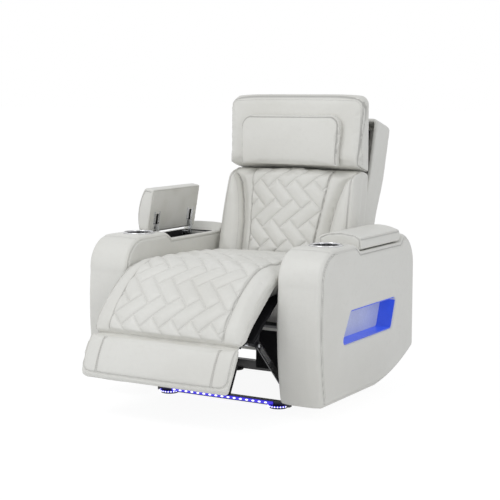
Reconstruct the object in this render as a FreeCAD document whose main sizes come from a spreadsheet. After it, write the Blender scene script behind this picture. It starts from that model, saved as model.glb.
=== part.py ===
# Power recliner with a motor footrest, a reclining back and a tilting headrest.
# Frame: X to the right of a person who looks at the chair, -Y to the chair's front, Z up.
# The origin lies on the floor below the middle of the whole outline.
# Names with left lie on the -X side and names with right on the +X side.
import FreeCAD, Part
import math
import os
import Sketcher

# Driving sizes in millimetres and degrees
SIZES = {
    # Overall layout between the arms
    "arm_width": 174.0,
    "bay_half": 308.5,
    "arm_clearance": 53.0,
    "overrun": 10.0,
    "fit_gap": 0.3,
    # Arm side profile
    "arm_front_low": 307.0,
    "arm_front_high": 328.0,
    "arm_shoulder_height": 458.0,
    "arm_front_radius": 1250.0,
    "arm_top_front": 218.0,
    "arm_top_height": 582.0,
    "arm_dip_front": 66.0,
    "lid_front": 33.0,
    "arm_bed_height": 557.0,
    "lid_rear": 300.0,
    "hump_run": 30.0,
    "hump_height": 584.0,
    "arm_rear": 432.0,
    "arm_rear_shoulder": 468.0,
    "arm_rear_low": 147.0,
    "arm_sweep_front": 110.0,
    "arm_sweep_radius": 900.0,
    "arm_edge_radius": 12.0,
    # Cup holder
    "cup_setback": 131.0,
    "cup_radius": 45.0,
    "cup_depth": 78.0,
    "cup_wall": 1.5,
    "cup_flange_radius": 60.0,
    "cup_flange_height": 2.0,
    # Storage console
    "storage_wall": 24.0,
    "storage_end_wall": 18.0,
    "storage_depth": 177.0,
    "tray_wall": 2.5,
    "lid_gap": 2.5,
    "lid_side_gap": 1.5,
    "lid_board_thick": 8.0,
    "lid_board_inset": 7.0,
    "lid_side_height": 41.0,
    "lid_crown_radius": 210.0,
    "lid_corner_radius": 14.0,
    "lid_open_angle": 80.0,
    "lid_axis_inset": 23.5,
    "lid_axis_rise": 36.5,
    "lid_hinge_spread": 230.0,
    "lid_hinge_slot": 20.0,
    "lid_hinge_thick": 8.0,
    "lid_hinge_cheek": 3.0,
    "lid_hinge_flange": 1.5,
    "lid_hinge_reach": 40.0,
    "lid_hinge_dip": 4.5,
    "lid_hinge_band": 9.0,
    "lid_pin_radius": 3.0,
    # Lit window in the outer side of the arm
    "window_top": 357.0,
    "window_bottom": 244.0,
    "window_front_top": 103.0,
    "window_front_bottom": 172.0,
    "window_rear_top": 275.0,
    "window_rear_bottom": 233.0,
    "window_depth": 70.0,
    "window_wall": 3.0,
    "window_lip": 6.0,
    "window_corner": 16.0,
    # Button panel in the inner side of the right arm
    "panel_front": 120.0,
    "panel_rear": 22.0,
    "panel_low": 470.0,
    "panel_high": 504.0,
    "panel_depth": 16.0,
    "panel_lip": 2.0,
    "button_half": 8.0,
    "button_rise": 1.5,
    "button_seat": 4.0,
    "button_travel": 1.5,
    # Base on the floor
    "foot_half_track": 232.0,
    "foot_front": 171.0,
    "foot_rear": 330.0,
    "foot_radius": 32.0,
    "foot_height": 6.0,
    "front_bar_size": 18.0,
    "base_tube_size": 30.0,
    "base_tube_lift": 12.0,
    "tube_wall": 2.0,
    "strip_half_length": 215.0,
    "strip_height": 10.0,
    "strip_thick": 5.0,
    # Power supply and lower rear panel
    "supply_width": 110.0,
    "supply_length": 70.0,
    "supply_height": 38.0,
    "supply_offset": 120.0,
    "inlet_width": 26.0,
    "inlet_height": 18.0,
    "inlet_depth": 14.0,
    "skirt_setback": 398.0,
    "skirt_thick": 10.0,
    "skirt_bottom": 60.0,
    "skirt_top": 232.0,
    # Seat
    "rail_thick": 24.0,
    "rail_bottom": 330.0,
    "rail_top": 395.0,
    "seat_frame_front": 135.0,
    "seat_frame_rear": 262.0,
    "rail_bridge": 18.0,
    "strap_width": 50.0,
    "strap_thick": 4.0,
    "strap_pitch": 112.0,
    "cushion_half": 297.0,
    "seat_top_front": 508.0,
    "seat_top_rear": 486.0,
    "seat_rear": 205.0,
    "seat_crown_radius": 3000.0,
    "seat_nose_radius": 6.0,
    "seat_nose_angle": 58.0,
    "cushion_edge": 12.0,
    # Footrest, in its own frame from the knee axis
    "knee_front": 230.0,
    "knee_height": 424.0,
    "rest_angle": 36.0,
    "pad_rise": 78.0,
    "roll_inner": 48.0,
    "roll_angle": 22.0,
    "roll_inner_angle": 115.0,
    "pad_reach": 333.0,
    "crown_run": 90.0,
    "crown_rise": 125.0,
    "calf_crown_radius": 518.0,
    "crest_radius": 210.0,
    "crest_angle": 45.0,
    "pad_board_thick": 14.0,
    "board_start": 30.0,
    "board_end": 250.0,
    "fold_depth": 26.0,
    "fold_relief_angle": 61.0,
    "fold_room": 5.0,
    "leaf_angle": 53.6,
    "fold_lip": 2.0,
    "fold_barrel_radius": 5.0,
    "fold_angle": 25.0,
    "flap_reach": 160.0,
    "flap_pad_thick": 38.0,
    "flap_board_thick": 10.0,
    "flap_roll_radius": 16.0,
    # Footrest linkage
    "link_thick": 4.0,
    "link_gap": 3.5,
    "link_radius": 13.0,
    "pin_radius": 6.0,
    "pivot_play": 0.4,
    "swing_length": 216.4,
    "swing_angle": 49.7,
    "carry_length": 212.1,
    "carry_angle": 45.0,
    "torque_radius": 11.0,
    "cross_rod_radius": 6.0,
    "plate_head_radius": 20.0,
    # Linear drives
    "leg_drive_drop": 75.0,
    "leg_drive_lead": 14.5,
    "back_drive_drop": 90.0,
    "back_drive_lead": 16.0,
    "head_drive_lead": 9.5,
    "head_drive_drop": 56.0,
    "track_width": 32.0,
    "track_height": 26.0,
    "nut_length": 44.0,
    "nut_width": 40.0,
    "nut_height": 34.0,
    "nut_pin_radius": 5.0,
    "fork_play": 2.6,
    "leg_drive_rate": 1.12,
    "leg_drive_swing": 35.5,
    "head_drive_swing": 12.5,
    "leg_gear_front": 200.0,
    "back_gear_front": 40.0,
    "back_drive_offset": 130.0,
    "back_gear_rise": 188.0,
    "head_track_top": 480.0,
    "fork_thick": 8.0,
    "fork_half": 13.0,
    "motor_radius": 27.0,
    "motor_length": 110.0,
    "gearbox_length": 62.0,
    "gearbox_size": 48.0,
    # Back
    "back_axis_setback": 300.0,
    "back_axis_height": 400.0,
    "back_angle": 16.0,
    "back_front": 90.0,
    "back_cushion_rear": 50.0,
    "back_cushion_bottom": 25.0,
    "back_cushion_top": 412.0,
    "back_top_half": 268.0,
    "back_bottom_half": 297.0,
    "wing_depth": 26.0,
    "panel_half_top": 190.0,
    "panel_half_bottom": 150.0,
    "shell_front": 50.3,
    "shell_rear": 156.0,
    "shell_wall": 15.0,
    "shell_bottom": 60.0,
    "shell_top": 645.0,
    "shell_half": 268.0,
    "upright_gap": 15.5,
    "back_tube_half": 12.5,
    "back_panel_thick": 8.0,
    "back_tube_top": 600.0,
    # Headrest
    "head_axis_plane": 60.0,
    "head_axis_rise": 425.0,
    "head_angle": 2.0,
    "head_front": 145.0,
    "head_rear": 50.0,
    "head_top_front": 98.0,
    "head_bottom_front": 39.0,
    "head_bottom_rear": 8.0,
    "head_top": 306.0,
    "head_half": 286.0,
    "head_corner_radius": 34.0,
    "pillow_thick": 34.0,
    "pillow_half": 218.0,
    "pillow_bottom": 36.0,
    "pillow_top": 236.0,
    "pillow_crown_radius": 700.0,
    "pillow_corner_radius": 46.0,
}

doc = FreeCAD.newDocument("PowerRecliner")
sheet = doc.addObject("Spreadsheet::Sheet", "Sizes")
for row, (name, amount) in enumerate(SIZES.items(), start=1):
    sheet.set(f"A{row}", name)
    sheet.set(f"B{row}", str(amount))
    sheet.setAlias(f"B{row}", name)
doc.recompute()


class Size:
    """A size: its value now, and the formula that ties it to the sheet."""

    def __init__(self, value, text=None):
        self.value = float(value)
        self.text = text or repr(float(value))

    def __add__(self, other):
        other = as_size(other)
        return Size(self.value + other.value, f"({self.text} + {other.text})")

    def __sub__(self, other):
        other = as_size(other)
        return Size(self.value - other.value, f"({self.text} - {other.text})")

    def __mul__(self, other):
        other = as_size(other)
        return Size(self.value * other.value, f"({self.text} * {other.text})")

    def __truediv__(self, other):
        other = as_size(other)
        return Size(self.value / other.value, f"({self.text} / {other.text})")

    def __neg__(self):
        return Size(-self.value, f"(0 - {self.text})")

    __radd__ = __add__
    __rmul__ = __mul__

    def __rsub__(self, other):
        return as_size(other) - self


def as_size(number):
    return number if isinstance(number, Size) else Size(number)


def sine(angle):
    return Size(math.sin(math.radians(angle.value)), f"sin({angle.text} * 1 deg)")


def cosine(angle):
    return Size(math.cos(math.radians(angle.value)), f"cos({angle.text} * 1 deg)")


def root(amount):
    return Size(math.sqrt(amount.value), f"sqrt({amount.text})")


def tangent(angle):
    return Size(math.tan(math.radians(angle.value)), f"tan({angle.text} * 1 deg)")


class Named:
    """The sheet's sizes as attributes."""


d = Named()
for name, amount in SIZES.items():
    setattr(d, name, Size(amount, f"Sizes.{name}"))

ZERO = Size(0.0)
SIDES = {"left": -1, "right": 1}
AXES = {"YZ_Plane": ("y", "z", "x"), "XZ_Plane": ("x", "z", "y"), "XY_Plane": ("x", "y", "z")}
parts = []


# Sketch and feature helpers

def bind(item, prop, amount):
    item.setExpression(prop, as_size(amount).text)


def new_body(label, base=None, turn=None):
    """A body that stands at base and is turned by an angle about one axis."""
    body = doc.addObject("PartDesign::Body", label)
    body.Label = label
    if base:
        where = FreeCAD.Vector(*[as_size(step).value for step in base])
        spin = FreeCAD.Rotation()
        if turn:
            spin = FreeCAD.Rotation(FreeCAD.Vector(*turn[0]), turn[1].value)
        body.Placement = FreeCAD.Placement(where, spin)
        for letter, step in zip("xyz", base):
            bind(body, f"Placement.Base.{letter}", step)
        if turn:
            bind(body, "Placement.Rotation.Angle", turn[1])
    parts.append(body)
    return body


def arc_centre(first, last, radius, side):
    """Centre of the arc from first to last, on the left of its chord where side is 1."""
    run = last - first
    half = run.Length / 2
    height = math.sqrt(max(radius * radius - half * half, 0.0))
    left = FreeCAD.Vector(-run.y, run.x, 0) / run.Length
    return (first + last) / 2 + left * (height * side)


def draw_loop(sketch, corners):
    """Draw one closed outline. A corner's third item, if any, is the radius and side of its arc."""
    points = [FreeCAD.Vector(as_size(c[0]).value, as_size(c[1]).value, 0) for c in corners]
    ends = []
    for index, corner in enumerate(corners):
        first, last = points[index], points[(index + 1) % len(points)]
        if len(corner) < 3:
            edge = sketch.addGeometry(Part.LineSegment(first, last), False)
            ends.append((edge, 1, 2))
            continue
        radius, side = corner[2]
        centre = arc_centre(first, last, radius.value, side)
        start, stop = (first, last) if side > 0 else (last, first)
        turn_from = math.atan2(start.y - centre.y, start.x - centre.x)
        turn_to = math.atan2(stop.y - centre.y, stop.x - centre.x)
        circle = Part.Circle(centre, FreeCAD.Vector(0, 0, 1), radius.value)
        edge = sketch.addGeometry(Part.ArcOfCircle(circle, turn_from, turn_to), False)
        ends.append((edge, 1, 2) if side > 0 else (edge, 2, 1))
        item = sketch.addConstraint(Sketcher.Constraint("Radius", edge, radius.value))
        bind(sketch, f"Constraints[{item}]", radius)
    for index, corner in enumerate(corners):
        edge, begin, end = ends[index]
        following = ends[(index + 1) % len(ends)]
        sketch.addConstraint(Sketcher.Constraint("Coincident", edge, end, following[0], following[1]))
        for kind, amount in (("DistanceX", corner[0]), ("DistanceY", corner[1])):
            amount = as_size(amount)
            item = sketch.addConstraint(Sketcher.Constraint(kind, -1, 1, edge, begin, amount.value))
            bind(sketch, f"Constraints[{item}]", amount)


def draw_circle(sketch, across, up, radius):
    centre = FreeCAD.Vector(as_size(across).value, as_size(up).value, 0)
    circle = Part.Circle(centre, FreeCAD.Vector(0, 0, 1), radius.value)
    edge = sketch.addGeometry(circle, False)
    for kind, amount in (("DistanceX", across), ("DistanceY", up)):
        amount = as_size(amount)
        item = sketch.addConstraint(Sketcher.Constraint(kind, -1, 1, edge, 3, amount.value))
        bind(sketch, f"Constraints[{item}]", amount)
    item = sketch.addConstraint(Sketcher.Constraint("Radius", edge, radius.value))
    bind(sketch, f"Constraints[{item}]", radius)


def new_sketch(body, role, start, loops):
    """A sketch on one of the body's planes, moved along the plane's axis to start."""
    sketch = body.newObject("Sketcher::SketchObject", f"{body.Label}_outline")
    plane = next(f for f in body.Origin.OriginFeatures if f.Role == role)
    sketch.AttachmentSupport = [(plane, "")]
    sketch.MapMode = "FlatFace"
    shift = -as_size(start) if role == "XZ_Plane" else as_size(start)
    sketch.AttachmentOffset = FreeCAD.Placement(FreeCAD.Vector(0, 0, shift.value), FreeCAD.Rotation())
    bind(sketch, "AttachmentOffset.Base.z", shift)
    for loop in loops:
        if loop[0] == "circle":
            draw_circle(sketch, *loop[1:])
        else:
            draw_loop(sketch, loop)
    return sketch


def add(body, role, start, stop, *loops):
    """Pad the loops from start to stop along the axis of the plane, with start below stop."""
    begin = stop if role == "XZ_Plane" else start
    sketch = new_sketch(body, role, begin, loops)
    pad = body.newObject("PartDesign::Pad", f"{body.Label}_pad")
    pad.Profile = sketch
    pad.Length = (as_size(stop) - start).value
    bind(pad, "Length", as_size(stop) - start)
    doc.recompute()
    return pad


def cut(body, role, start, stop, *loops):
    """Cut the loops out of the body from start to stop along the axis of the plane."""
    before = body.Shape.Volume
    begin = start if role == "XZ_Plane" else stop
    sketch = new_sketch(body, role, begin, loops)
    pocket = body.newObject("PartDesign::Pocket", f"{body.Label}_pocket")
    pocket.Profile = sketch
    pocket.Length = (as_size(stop) - start).value
    bind(pocket, "Length", as_size(stop) - start)
    doc.recompute()
    if body.Shape.Volume > before * (1 - 1e-9):
        raise ValueError(f"{body.Label}: the pocket cuts nothing")
    return pocket


def dress(body, names, kind, prop, amount):
    """Put a fillet or a chamfer of one size on the named edges of the body's tip."""
    base = body.Tip
    item = body.newObject(f"PartDesign::{kind}", f"{body.Label}_{kind.lower()}")
    item.Base = (base, names)
    setattr(item, prop, amount.value)
    bind(item, prop, amount)
    doc.recompute()
    if "Invalid" in item.State or "Error" in item.State:
        raise ValueError(f"{body.Label}: the {kind.lower()} failed")
    return item


def near(first, second):
    return abs(first - second) < 0.02


def round_corners(body, role, corners, radius):
    """Round the edges that run square to the plane through the corners."""
    one, two, along = AXES[role]
    names = []
    for index, edge in enumerate(body.Tip.Shape.Edges, start=1):
        spots = [v.Point for v in edge.Vertexes]
        if len(spots) < 2 or near(getattr(spots[0], along), getattr(spots[1], along)):
            continue
        for corner in corners:
            goal = as_size(corner[0]).value, as_size(corner[1]).value
            if all(near(getattr(s, one), goal[0]) and near(getattr(s, two), goal[1]) for s in spots):
                names.append(f"Edge{index}")
    return dress(body, names, "Fillet", "Radius", radius)


def rim_edges(body, role, levels, sharp):
    """The edges in the planes at the levels, apart from those that meet a sharp corner."""
    one, two, along = AXES[role]
    names = []
    for index, edge in enumerate(body.Tip.Shape.Edges, start=1):
        spots = [v.Point for v in edge.Vertexes]
        if any(near(getattr(s, one), c[0].value) and near(getattr(s, two), c[1].value)
               for s in spots for c in sharp):
            continue
        for level in levels:
            if all(near(getattr(s, along), as_size(level).value) for s in spots):
                names.append(f"Edge{index}")
    return names


def round_rims(body, role, levels, radius, sharp=()):
    return dress(body, rim_edges(body, role, levels, sharp), "Fillet", "Radius", radius)


def bevel_rims(body, role, levels, size, sharp=()):
    return dress(body, rim_edges(body, role, levels, sharp), "Chamfer", "Size", size)


def turn_profile(body, points):
    """Turn an outline in the XZ plane a full circle about the body's Z axis."""
    sketch = new_sketch(body, "XZ_Plane", ZERO, [points])
    turned = body.newObject("PartDesign::Revolution", f"{body.Label}_turned")
    turned.Profile = sketch
    turned.ReferenceAxis = (sketch, ["V_Axis"])
    turned.Angle = 360.0
    doc.recompute()
    return turned


def box(low_a, low_b, high_a, high_b):
    return [(low_a, low_b), (high_a, low_b), (high_a, high_b), (low_a, high_b)]


def square(middle_a, middle_b, half):
    return box(middle_a - half, middle_b - half, middle_a + half, middle_b + half)


def mirrored(points, side):
    """The outline for one side of the chair: the first coordinate and the arcs change side."""
    turned = []
    for point in points:
        flipped = (as_size(point[0]) * side, point[1])
        if len(point) > 2:
            flipped += ((point[2][0], point[2][1] * side),)
        turned.append(flipped)
    return turned


def span(side, inner, outer):
    """Start and stop along X of a piece that lies between two distances from the middle."""
    inner, outer = as_size(inner), as_size(outer)
    return (inner, outer) if side > 0 else (-outer, -inner)


# Places that several pieces share

arm_outer = d.bay_half + d.arm_width
arm_middle = d.bay_half + d.arm_width * 0.5
knee = (-d.knee_front, d.knee_height)
to_board = (-(d.swing_length * cosine(d.swing_angle)), -(d.swing_length * sine(d.swing_angle)))
to_base = (d.carry_length * cosine(d.carry_angle), -(d.carry_length * sine(d.carry_angle)))
board_pivot = (knee[0] + to_board[0], knee[1] + to_board[1])
base_pivot = (knee[0] + to_base[0], knee[1] + to_base[1])
swing_end = (base_pivot[0] + to_board[0], base_pivot[1] + to_board[1])
back_axis = (d.back_axis_setback, d.back_axis_height)

plate_outer = d.bay_half - d.rail_thick
plate_inner = plate_outer - d.link_thick
swing_outer = plate_inner - d.link_gap
swing_inner = swing_outer - d.link_thick
carry_outer = swing_inner - d.link_gap
carry_inner = carry_outer - d.link_thick
bracket_outer = carry_inner - d.link_gap
bracket_inner = bracket_outer - d.link_thick
hole_radius = d.pin_radius + d.pivot_play

X_AXIS = (1, 0, 0)
Y_AXIS = (0, 1, 0)


# Welded base with two side tubes and two cross bars

front_bar_top = d.foot_height + d.front_bar_size
tube_top = d.base_tube_lift + d.base_tube_size
base_frame = new_body("base_frame")
for side in SIDES.values():
    across = span(side, plate_inner - d.base_tube_size, plate_inner)
    add(base_frame, "XZ_Plane", -d.foot_front - d.front_bar_size * 0.5, d.foot_rear,
        box(across[0], d.base_tube_lift, across[1], tube_top),
        box(across[0] + d.tube_wall, d.base_tube_lift + d.tube_wall,
            across[1] - d.tube_wall, tube_top - d.tube_wall))
add(base_frame, "YZ_Plane", -plate_inner, plate_inner,
    box(-d.foot_front - d.front_bar_size * 0.5, d.foot_height,
        d.front_bar_size * 0.5 - d.foot_front, front_bar_top),
    box(d.tube_wall - d.foot_front - d.front_bar_size * 0.5, d.foot_height + d.tube_wall,
        d.front_bar_size * 0.5 - d.foot_front - d.tube_wall, front_bar_top - d.tube_wall))
add(base_frame, "YZ_Plane", -plate_inner, plate_inner,
    box(d.foot_rear - d.base_tube_size, d.foot_height, d.foot_rear, tube_top),
    box(d.foot_rear - d.base_tube_size + d.tube_wall, d.foot_height + d.tube_wall,
        d.foot_rear - d.tube_wall, tube_top - d.tube_wall))

# Round glides under the base

base_feet = new_body("base_feet")
rear_foot_line = d.foot_rear - d.foot_radius
for across in (-d.foot_half_track, d.foot_half_track):
    for along in (-d.foot_front, rear_foot_line):
        add(base_feet, "XY_Plane", ZERO, d.foot_height, ("circle", across, along, d.foot_radius))

# Light strip along the front cross bar

strip_face = -d.foot_front - d.front_bar_size * 0.5
strip_low = d.foot_height + (d.front_bar_size - d.strip_height) * 0.5
led_strip = new_body("led_strip")
add(led_strip, "YZ_Plane", -d.strip_half_length, d.strip_half_length,
    box(strip_face - d.strip_thick, strip_low, strip_face, strip_low + d.strip_height))

# Seat frame: a box of rails whose sides meet the arms

seat_frame = new_body("seat_frame")
add(seat_frame, "XY_Plane", d.rail_bottom, d.rail_top,
    box(-d.bay_half, -d.seat_frame_front, d.bay_half, d.seat_frame_rear),
    box(-plate_outer, d.rail_thick - d.seat_frame_front, plate_outer, d.seat_frame_rear - d.rail_thick))

for side in SIDES.values():
    notch = span(side, plate_inner - d.fit_gap, plate_outer)
    cut(seat_frame, "XY_Plane", d.rail_bottom - d.overrun, d.rail_top - d.rail_bridge,
        box(notch[0], -d.seat_frame_front - d.overrun, notch[1], d.rail_thick - d.seat_frame_front))
    cut(seat_frame, "XY_Plane", d.rail_bottom + d.rail_bridge, d.rail_top + d.overrun,
        box(notch[0], d.seat_frame_rear - d.rail_thick, notch[1], d.seat_frame_rear + d.overrun))

# Elastic straps across the seat frame under the cushion

seat_straps = new_body("seat_straps")
for step in (-1.5, -0.5, 0.5, 1.5):
    middle = d.strap_pitch * step
    add(seat_straps, "XY_Plane", d.rail_top, d.rail_top + d.strap_thick,
        box(middle - d.strap_width * 0.5, -d.seat_frame_front, middle + d.strap_width * 0.5,
            d.seat_frame_rear - d.rail_thick))

# Seat cushion whose nose follows the round end of the footrest pad

seat_base = d.rail_top + d.strap_thick + d.fit_gap
nose_radius = d.pad_rise + d.fold_lip
nose_back = (knee[0] + nose_radius, knee[1])
nose_tip = (knee[0] + nose_radius * cosine(d.seat_nose_angle),
            knee[1] + nose_radius * sine(d.seat_nose_angle))
seat_cushion = new_body("seat_cushion")
add(seat_cushion, "YZ_Plane", -d.cushion_half, d.cushion_half, [
    (nose_back[0], seat_base),
    (d.seat_rear, seat_base),
    (d.seat_rear, d.seat_top_rear, (d.seat_crown_radius, 1)),
    (nose_tip[0] + d.seat_nose_radius, d.seat_top_front),
    (nose_tip[0], nose_tip[1], (nose_radius, -1)),
    (nose_back[0], nose_back[1]),
])
round_corners(seat_cushion, "YZ_Plane", [(d.seat_rear, d.seat_top_rear)], d.cushion_edge * 2)
bevel_rims(seat_cushion, "YZ_Plane", [-d.cushion_half, d.cushion_half], d.cushion_edge,
           [nose_back, nose_tip, (nose_tip[0] + d.seat_nose_radius, d.seat_top_front)])

# Arms: padded casings with a storage well, a cup bore and a lit window

arm_top = d.arm_top_height
nose_run = d.arm_front_high - d.arm_top_front
nose_rise = arm_top - d.arm_shoulder_height
arm_nose_radius = (nose_run * nose_run + nose_rise * nose_rise) / (nose_rise * 2)
hump_back = d.arm_rear - d.lid_rear - d.hump_run
hump_rise = d.hump_height - d.arm_rear_shoulder
hump_radius = (hump_back * hump_back + hump_rise * hump_rise) / (hump_back * 2)
arm_profile = [
    (-d.arm_front_low, d.arm_clearance),
    (d.arm_sweep_front, d.arm_clearance, (d.arm_sweep_radius, 1)),
    (d.arm_rear, d.arm_rear_low),
    (d.arm_rear, d.arm_rear_shoulder, (hump_radius, 1)),
    (d.lid_rear + d.hump_run, d.hump_height),
    (d.lid_rear, d.arm_bed_height),
    (-d.lid_front, d.arm_bed_height),
    (-d.arm_dip_front, arm_top),
    (-d.arm_top_front, arm_top, (arm_nose_radius, 1)),
    (-d.arm_front_high, d.arm_shoulder_height, (d.arm_front_radius, 1)),
]
bed_corners = [(d.lid_rear, d.arm_bed_height), (-d.lid_front, d.arm_bed_height)]
storage_inner = d.bay_half + d.storage_wall
storage_outer = arm_outer - d.storage_wall
storage_front = d.storage_end_wall - d.lid_front
storage_rear = d.lid_rear - d.storage_end_wall
storage_floor = d.arm_bed_height - d.storage_depth
bore_radius = d.cup_radius + d.cup_wall + d.fit_gap
window_outline = [
    (-d.window_front_bottom, d.window_bottom),
    (d.window_rear_bottom, d.window_bottom),
    (d.window_rear_top, d.window_top),
    (-d.window_front_top, d.window_top),
]
panel_outline = box(-d.panel_front, d.panel_low, -d.panel_rear, d.panel_high)
for name, side in SIDES.items():
    arm = new_body(f"arm_{name}")
    add(arm, "YZ_Plane", *span(side, d.bay_half, arm_outer), arm_profile)
    bevel_rims(arm, "YZ_Plane", [d.bay_half * side, arm_outer * side], d.arm_edge_radius, bed_corners)
    cut(arm, "XY_Plane", storage_floor, d.arm_bed_height + d.overrun,
        mirrored(box(storage_inner, storage_front, storage_outer, storage_rear), side))
    cut(arm, "XY_Plane", arm_top - d.cup_depth - d.cup_wall, arm_top + d.overrun,
        ("circle", arm_middle * side, -d.cup_setback, bore_radius))
    cut(arm, "YZ_Plane", *span(side, arm_outer - d.window_depth, arm_outer + d.overrun), window_outline)
    round_corners(arm, "YZ_Plane", window_outline, d.window_corner)
    if side > 0:
        cut(arm, "YZ_Plane", d.bay_half, d.bay_half + d.panel_depth, panel_outline)


# Steel cups that hang by their flanges in the arms

for name, side in SIDES.items():
    cup = new_body(f"cup_holder_{name}", (arm_middle * side, -d.cup_setback, arm_top))
    outside = d.cup_radius + d.cup_wall
    turn_profile(cup, [
        (ZERO, -d.cup_depth),
        (outside, -d.cup_depth),
        (outside, ZERO),
        (d.cup_flange_radius, ZERO),
        (d.cup_flange_radius, d.cup_flange_height),
        (d.cup_radius, d.cup_flange_height),
        (d.cup_radius, d.cup_wall - d.cup_depth),
        (ZERO, d.cup_wall - d.cup_depth),
    ])

# Plastic liners of the storage wells

for name, side in SIDES.items():
    tray = new_body(f"storage_tray_{name}")
    add(tray, "XY_Plane", storage_floor, d.arm_bed_height,
        mirrored(box(storage_inner + d.fit_gap, storage_front + d.fit_gap,
                     storage_outer - d.fit_gap, storage_rear - d.fit_gap), side))
    lined = d.fit_gap + d.tray_wall
    cut(tray, "XY_Plane", storage_floor + d.tray_wall, d.arm_bed_height + d.overrun,
        mirrored(box(storage_inner + lined, storage_front + lined,
                     storage_outer - lined, storage_rear - lined), side))

# Console lids: a board in a crowned pad, on two gooseneck hinges along the outer side

lid_axis = (arm_outer - d.lid_axis_inset, d.arm_bed_height + d.lid_gap + d.lid_axis_rise)
lid_inner = d.lid_side_gap + d.bay_half - lid_axis[0]
lid_outer = arm_outer - lid_axis[0]
lid_low = -d.lid_axis_rise
lid_shoulder = lid_low + d.lid_side_height
lid_start = d.lid_gap - d.lid_front
lid_stop = d.lid_rear - d.lid_gap
lid_profile = [
    (lid_inner, lid_low),
    (lid_outer, lid_low),
    (lid_outer, lid_shoulder, (d.lid_crown_radius, 1)),
    (lid_inner, lid_shoulder),
]
board_outer = lid_outer - d.lid_corner_radius - d.lid_gap
board_inner = lid_inner + d.lid_board_inset
hinge_lines = [(lid_start + lid_stop) * 0.5 + d.lid_hinge_spread * share for share in (-0.5, 0.5)]
neck_outer = d.lid_hinge_reach + d.lid_hinge_band
slot_inner = -(neck_outer + d.lid_hinge_cheek)
slot_outer = d.lid_pin_radius + d.lid_hinge_dip
tray_face = storage_outer - d.fit_gap - d.tray_wall - lid_axis[0]
neck_foot = lid_low - d.lid_hinge_dip
neck_half = d.lid_hinge_band * 0.5


def lid_body(label, side):
    """A body in the lid's frame. The left lid stands open and the right one is closed."""
    base = (lid_axis[0] * side, ZERO, lid_axis[1])
    return new_body(label, base, (Y_AXIS, d.lid_open_angle * side) if side < 0 else None)


for name, side in SIDES.items():
    pad = lid_body(f"lid_pad_{name}", side)
    add(pad, "XZ_Plane", lid_start, lid_stop, mirrored(lid_profile, side))
    round_corners(pad, "XZ_Plane", mirrored([(lid_outer, lid_low)], side), d.lid_corner_radius)
    round_corners(pad, "XZ_Plane", mirrored([(lid_outer, lid_shoulder), (lid_inner, lid_shoulder)], side),
                  d.lid_board_thick)
    cut(pad, "XY_Plane", lid_low, lid_low + d.lid_board_thick,
        mirrored(box(board_inner, lid_start + d.lid_board_inset, board_outer, lid_stop - d.lid_board_inset),
                 side))
    board = lid_body(f"lid_board_{name}", side)
    add(board, "XY_Plane", lid_low, lid_low + d.lid_board_thick,
        mirrored(box(board_inner, lid_start + d.lid_board_inset, board_outer, lid_stop - d.lid_board_inset),
                 side))
    for line in hinge_lines:
        slot = (line - d.lid_hinge_slot * 0.5, line + d.lid_hinge_slot * 0.5)
        for piece in (pad, board):
            cut(piece, "XZ_Plane", *slot,
                mirrored(box(slot_inner, lid_low - d.overrun, slot_outer, slot_outer), side))
    cups = lid_body(f"lid_hinge_cups_{name}", side)
    necks = new_body(f"lid_hinge_necks_{name}", (lid_axis[0] * side, ZERO, lid_axis[1]))
    for line in hinge_lines:
        half_slot = d.lid_hinge_slot * 0.5
        cheek = half_slot - d.lid_hinge_cheek
        plate = mirrored(box(slot_inner, lid_low - d.lid_hinge_flange, slot_outer, slot_outer), side)
        add(cups, "XZ_Plane", line - half_slot, line - cheek, plate)
        add(cups, "XZ_Plane", line + cheek, line + half_slot, plate)
        add(cups, "XZ_Plane", line - cheek, line + cheek, ("circle", ZERO, ZERO, d.lid_pin_radius))
        add(necks, "XZ_Plane", line - d.lid_hinge_thick * 0.5, line + d.lid_hinge_thick * 0.5, mirrored([
            (-neck_outer, neck_half),
            (-neck_outer, neck_foot - d.lid_hinge_band),
            (tray_face - d.lid_hinge_cheek, neck_foot - d.lid_hinge_band),
            (tray_face - d.lid_hinge_cheek, neck_foot - d.lid_hinge_band * 3),
            (tray_face, neck_foot - d.lid_hinge_band * 3),
            (tray_face, neck_foot),
            (-d.lid_hinge_reach, neck_foot),
            (-d.lid_hinge_reach, -neck_half),
            (neck_half, -neck_half),
            (neck_half, neck_half),
        ], side), ("circle", ZERO, ZERO, d.lid_pin_radius + d.fit_gap))

# Housings of the lit windows, each with a pale panel at its back

window_rise = d.window_top - d.window_bottom
front_lean = (d.window_front_bottom - d.window_front_top) / window_rise
rear_lean = (d.window_rear_top - d.window_rear_bottom) / window_rise
front_width = root(front_lean * front_lean + 1)
rear_width = root(rear_lean * rear_lean + 1)


def window_loop(inset):
    """The window's outline drawn in by an inset on every side."""
    return [
        (inset * (front_width + front_lean) - d.window_front_bottom, d.window_bottom + inset),
        (d.window_rear_bottom - inset * (rear_width - rear_lean), d.window_bottom + inset),
        (d.window_rear_top - inset * (rear_width + rear_lean), d.window_top - inset),
        (inset * (front_width - front_lean) - d.window_front_top, d.window_top - inset),
    ]


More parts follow.
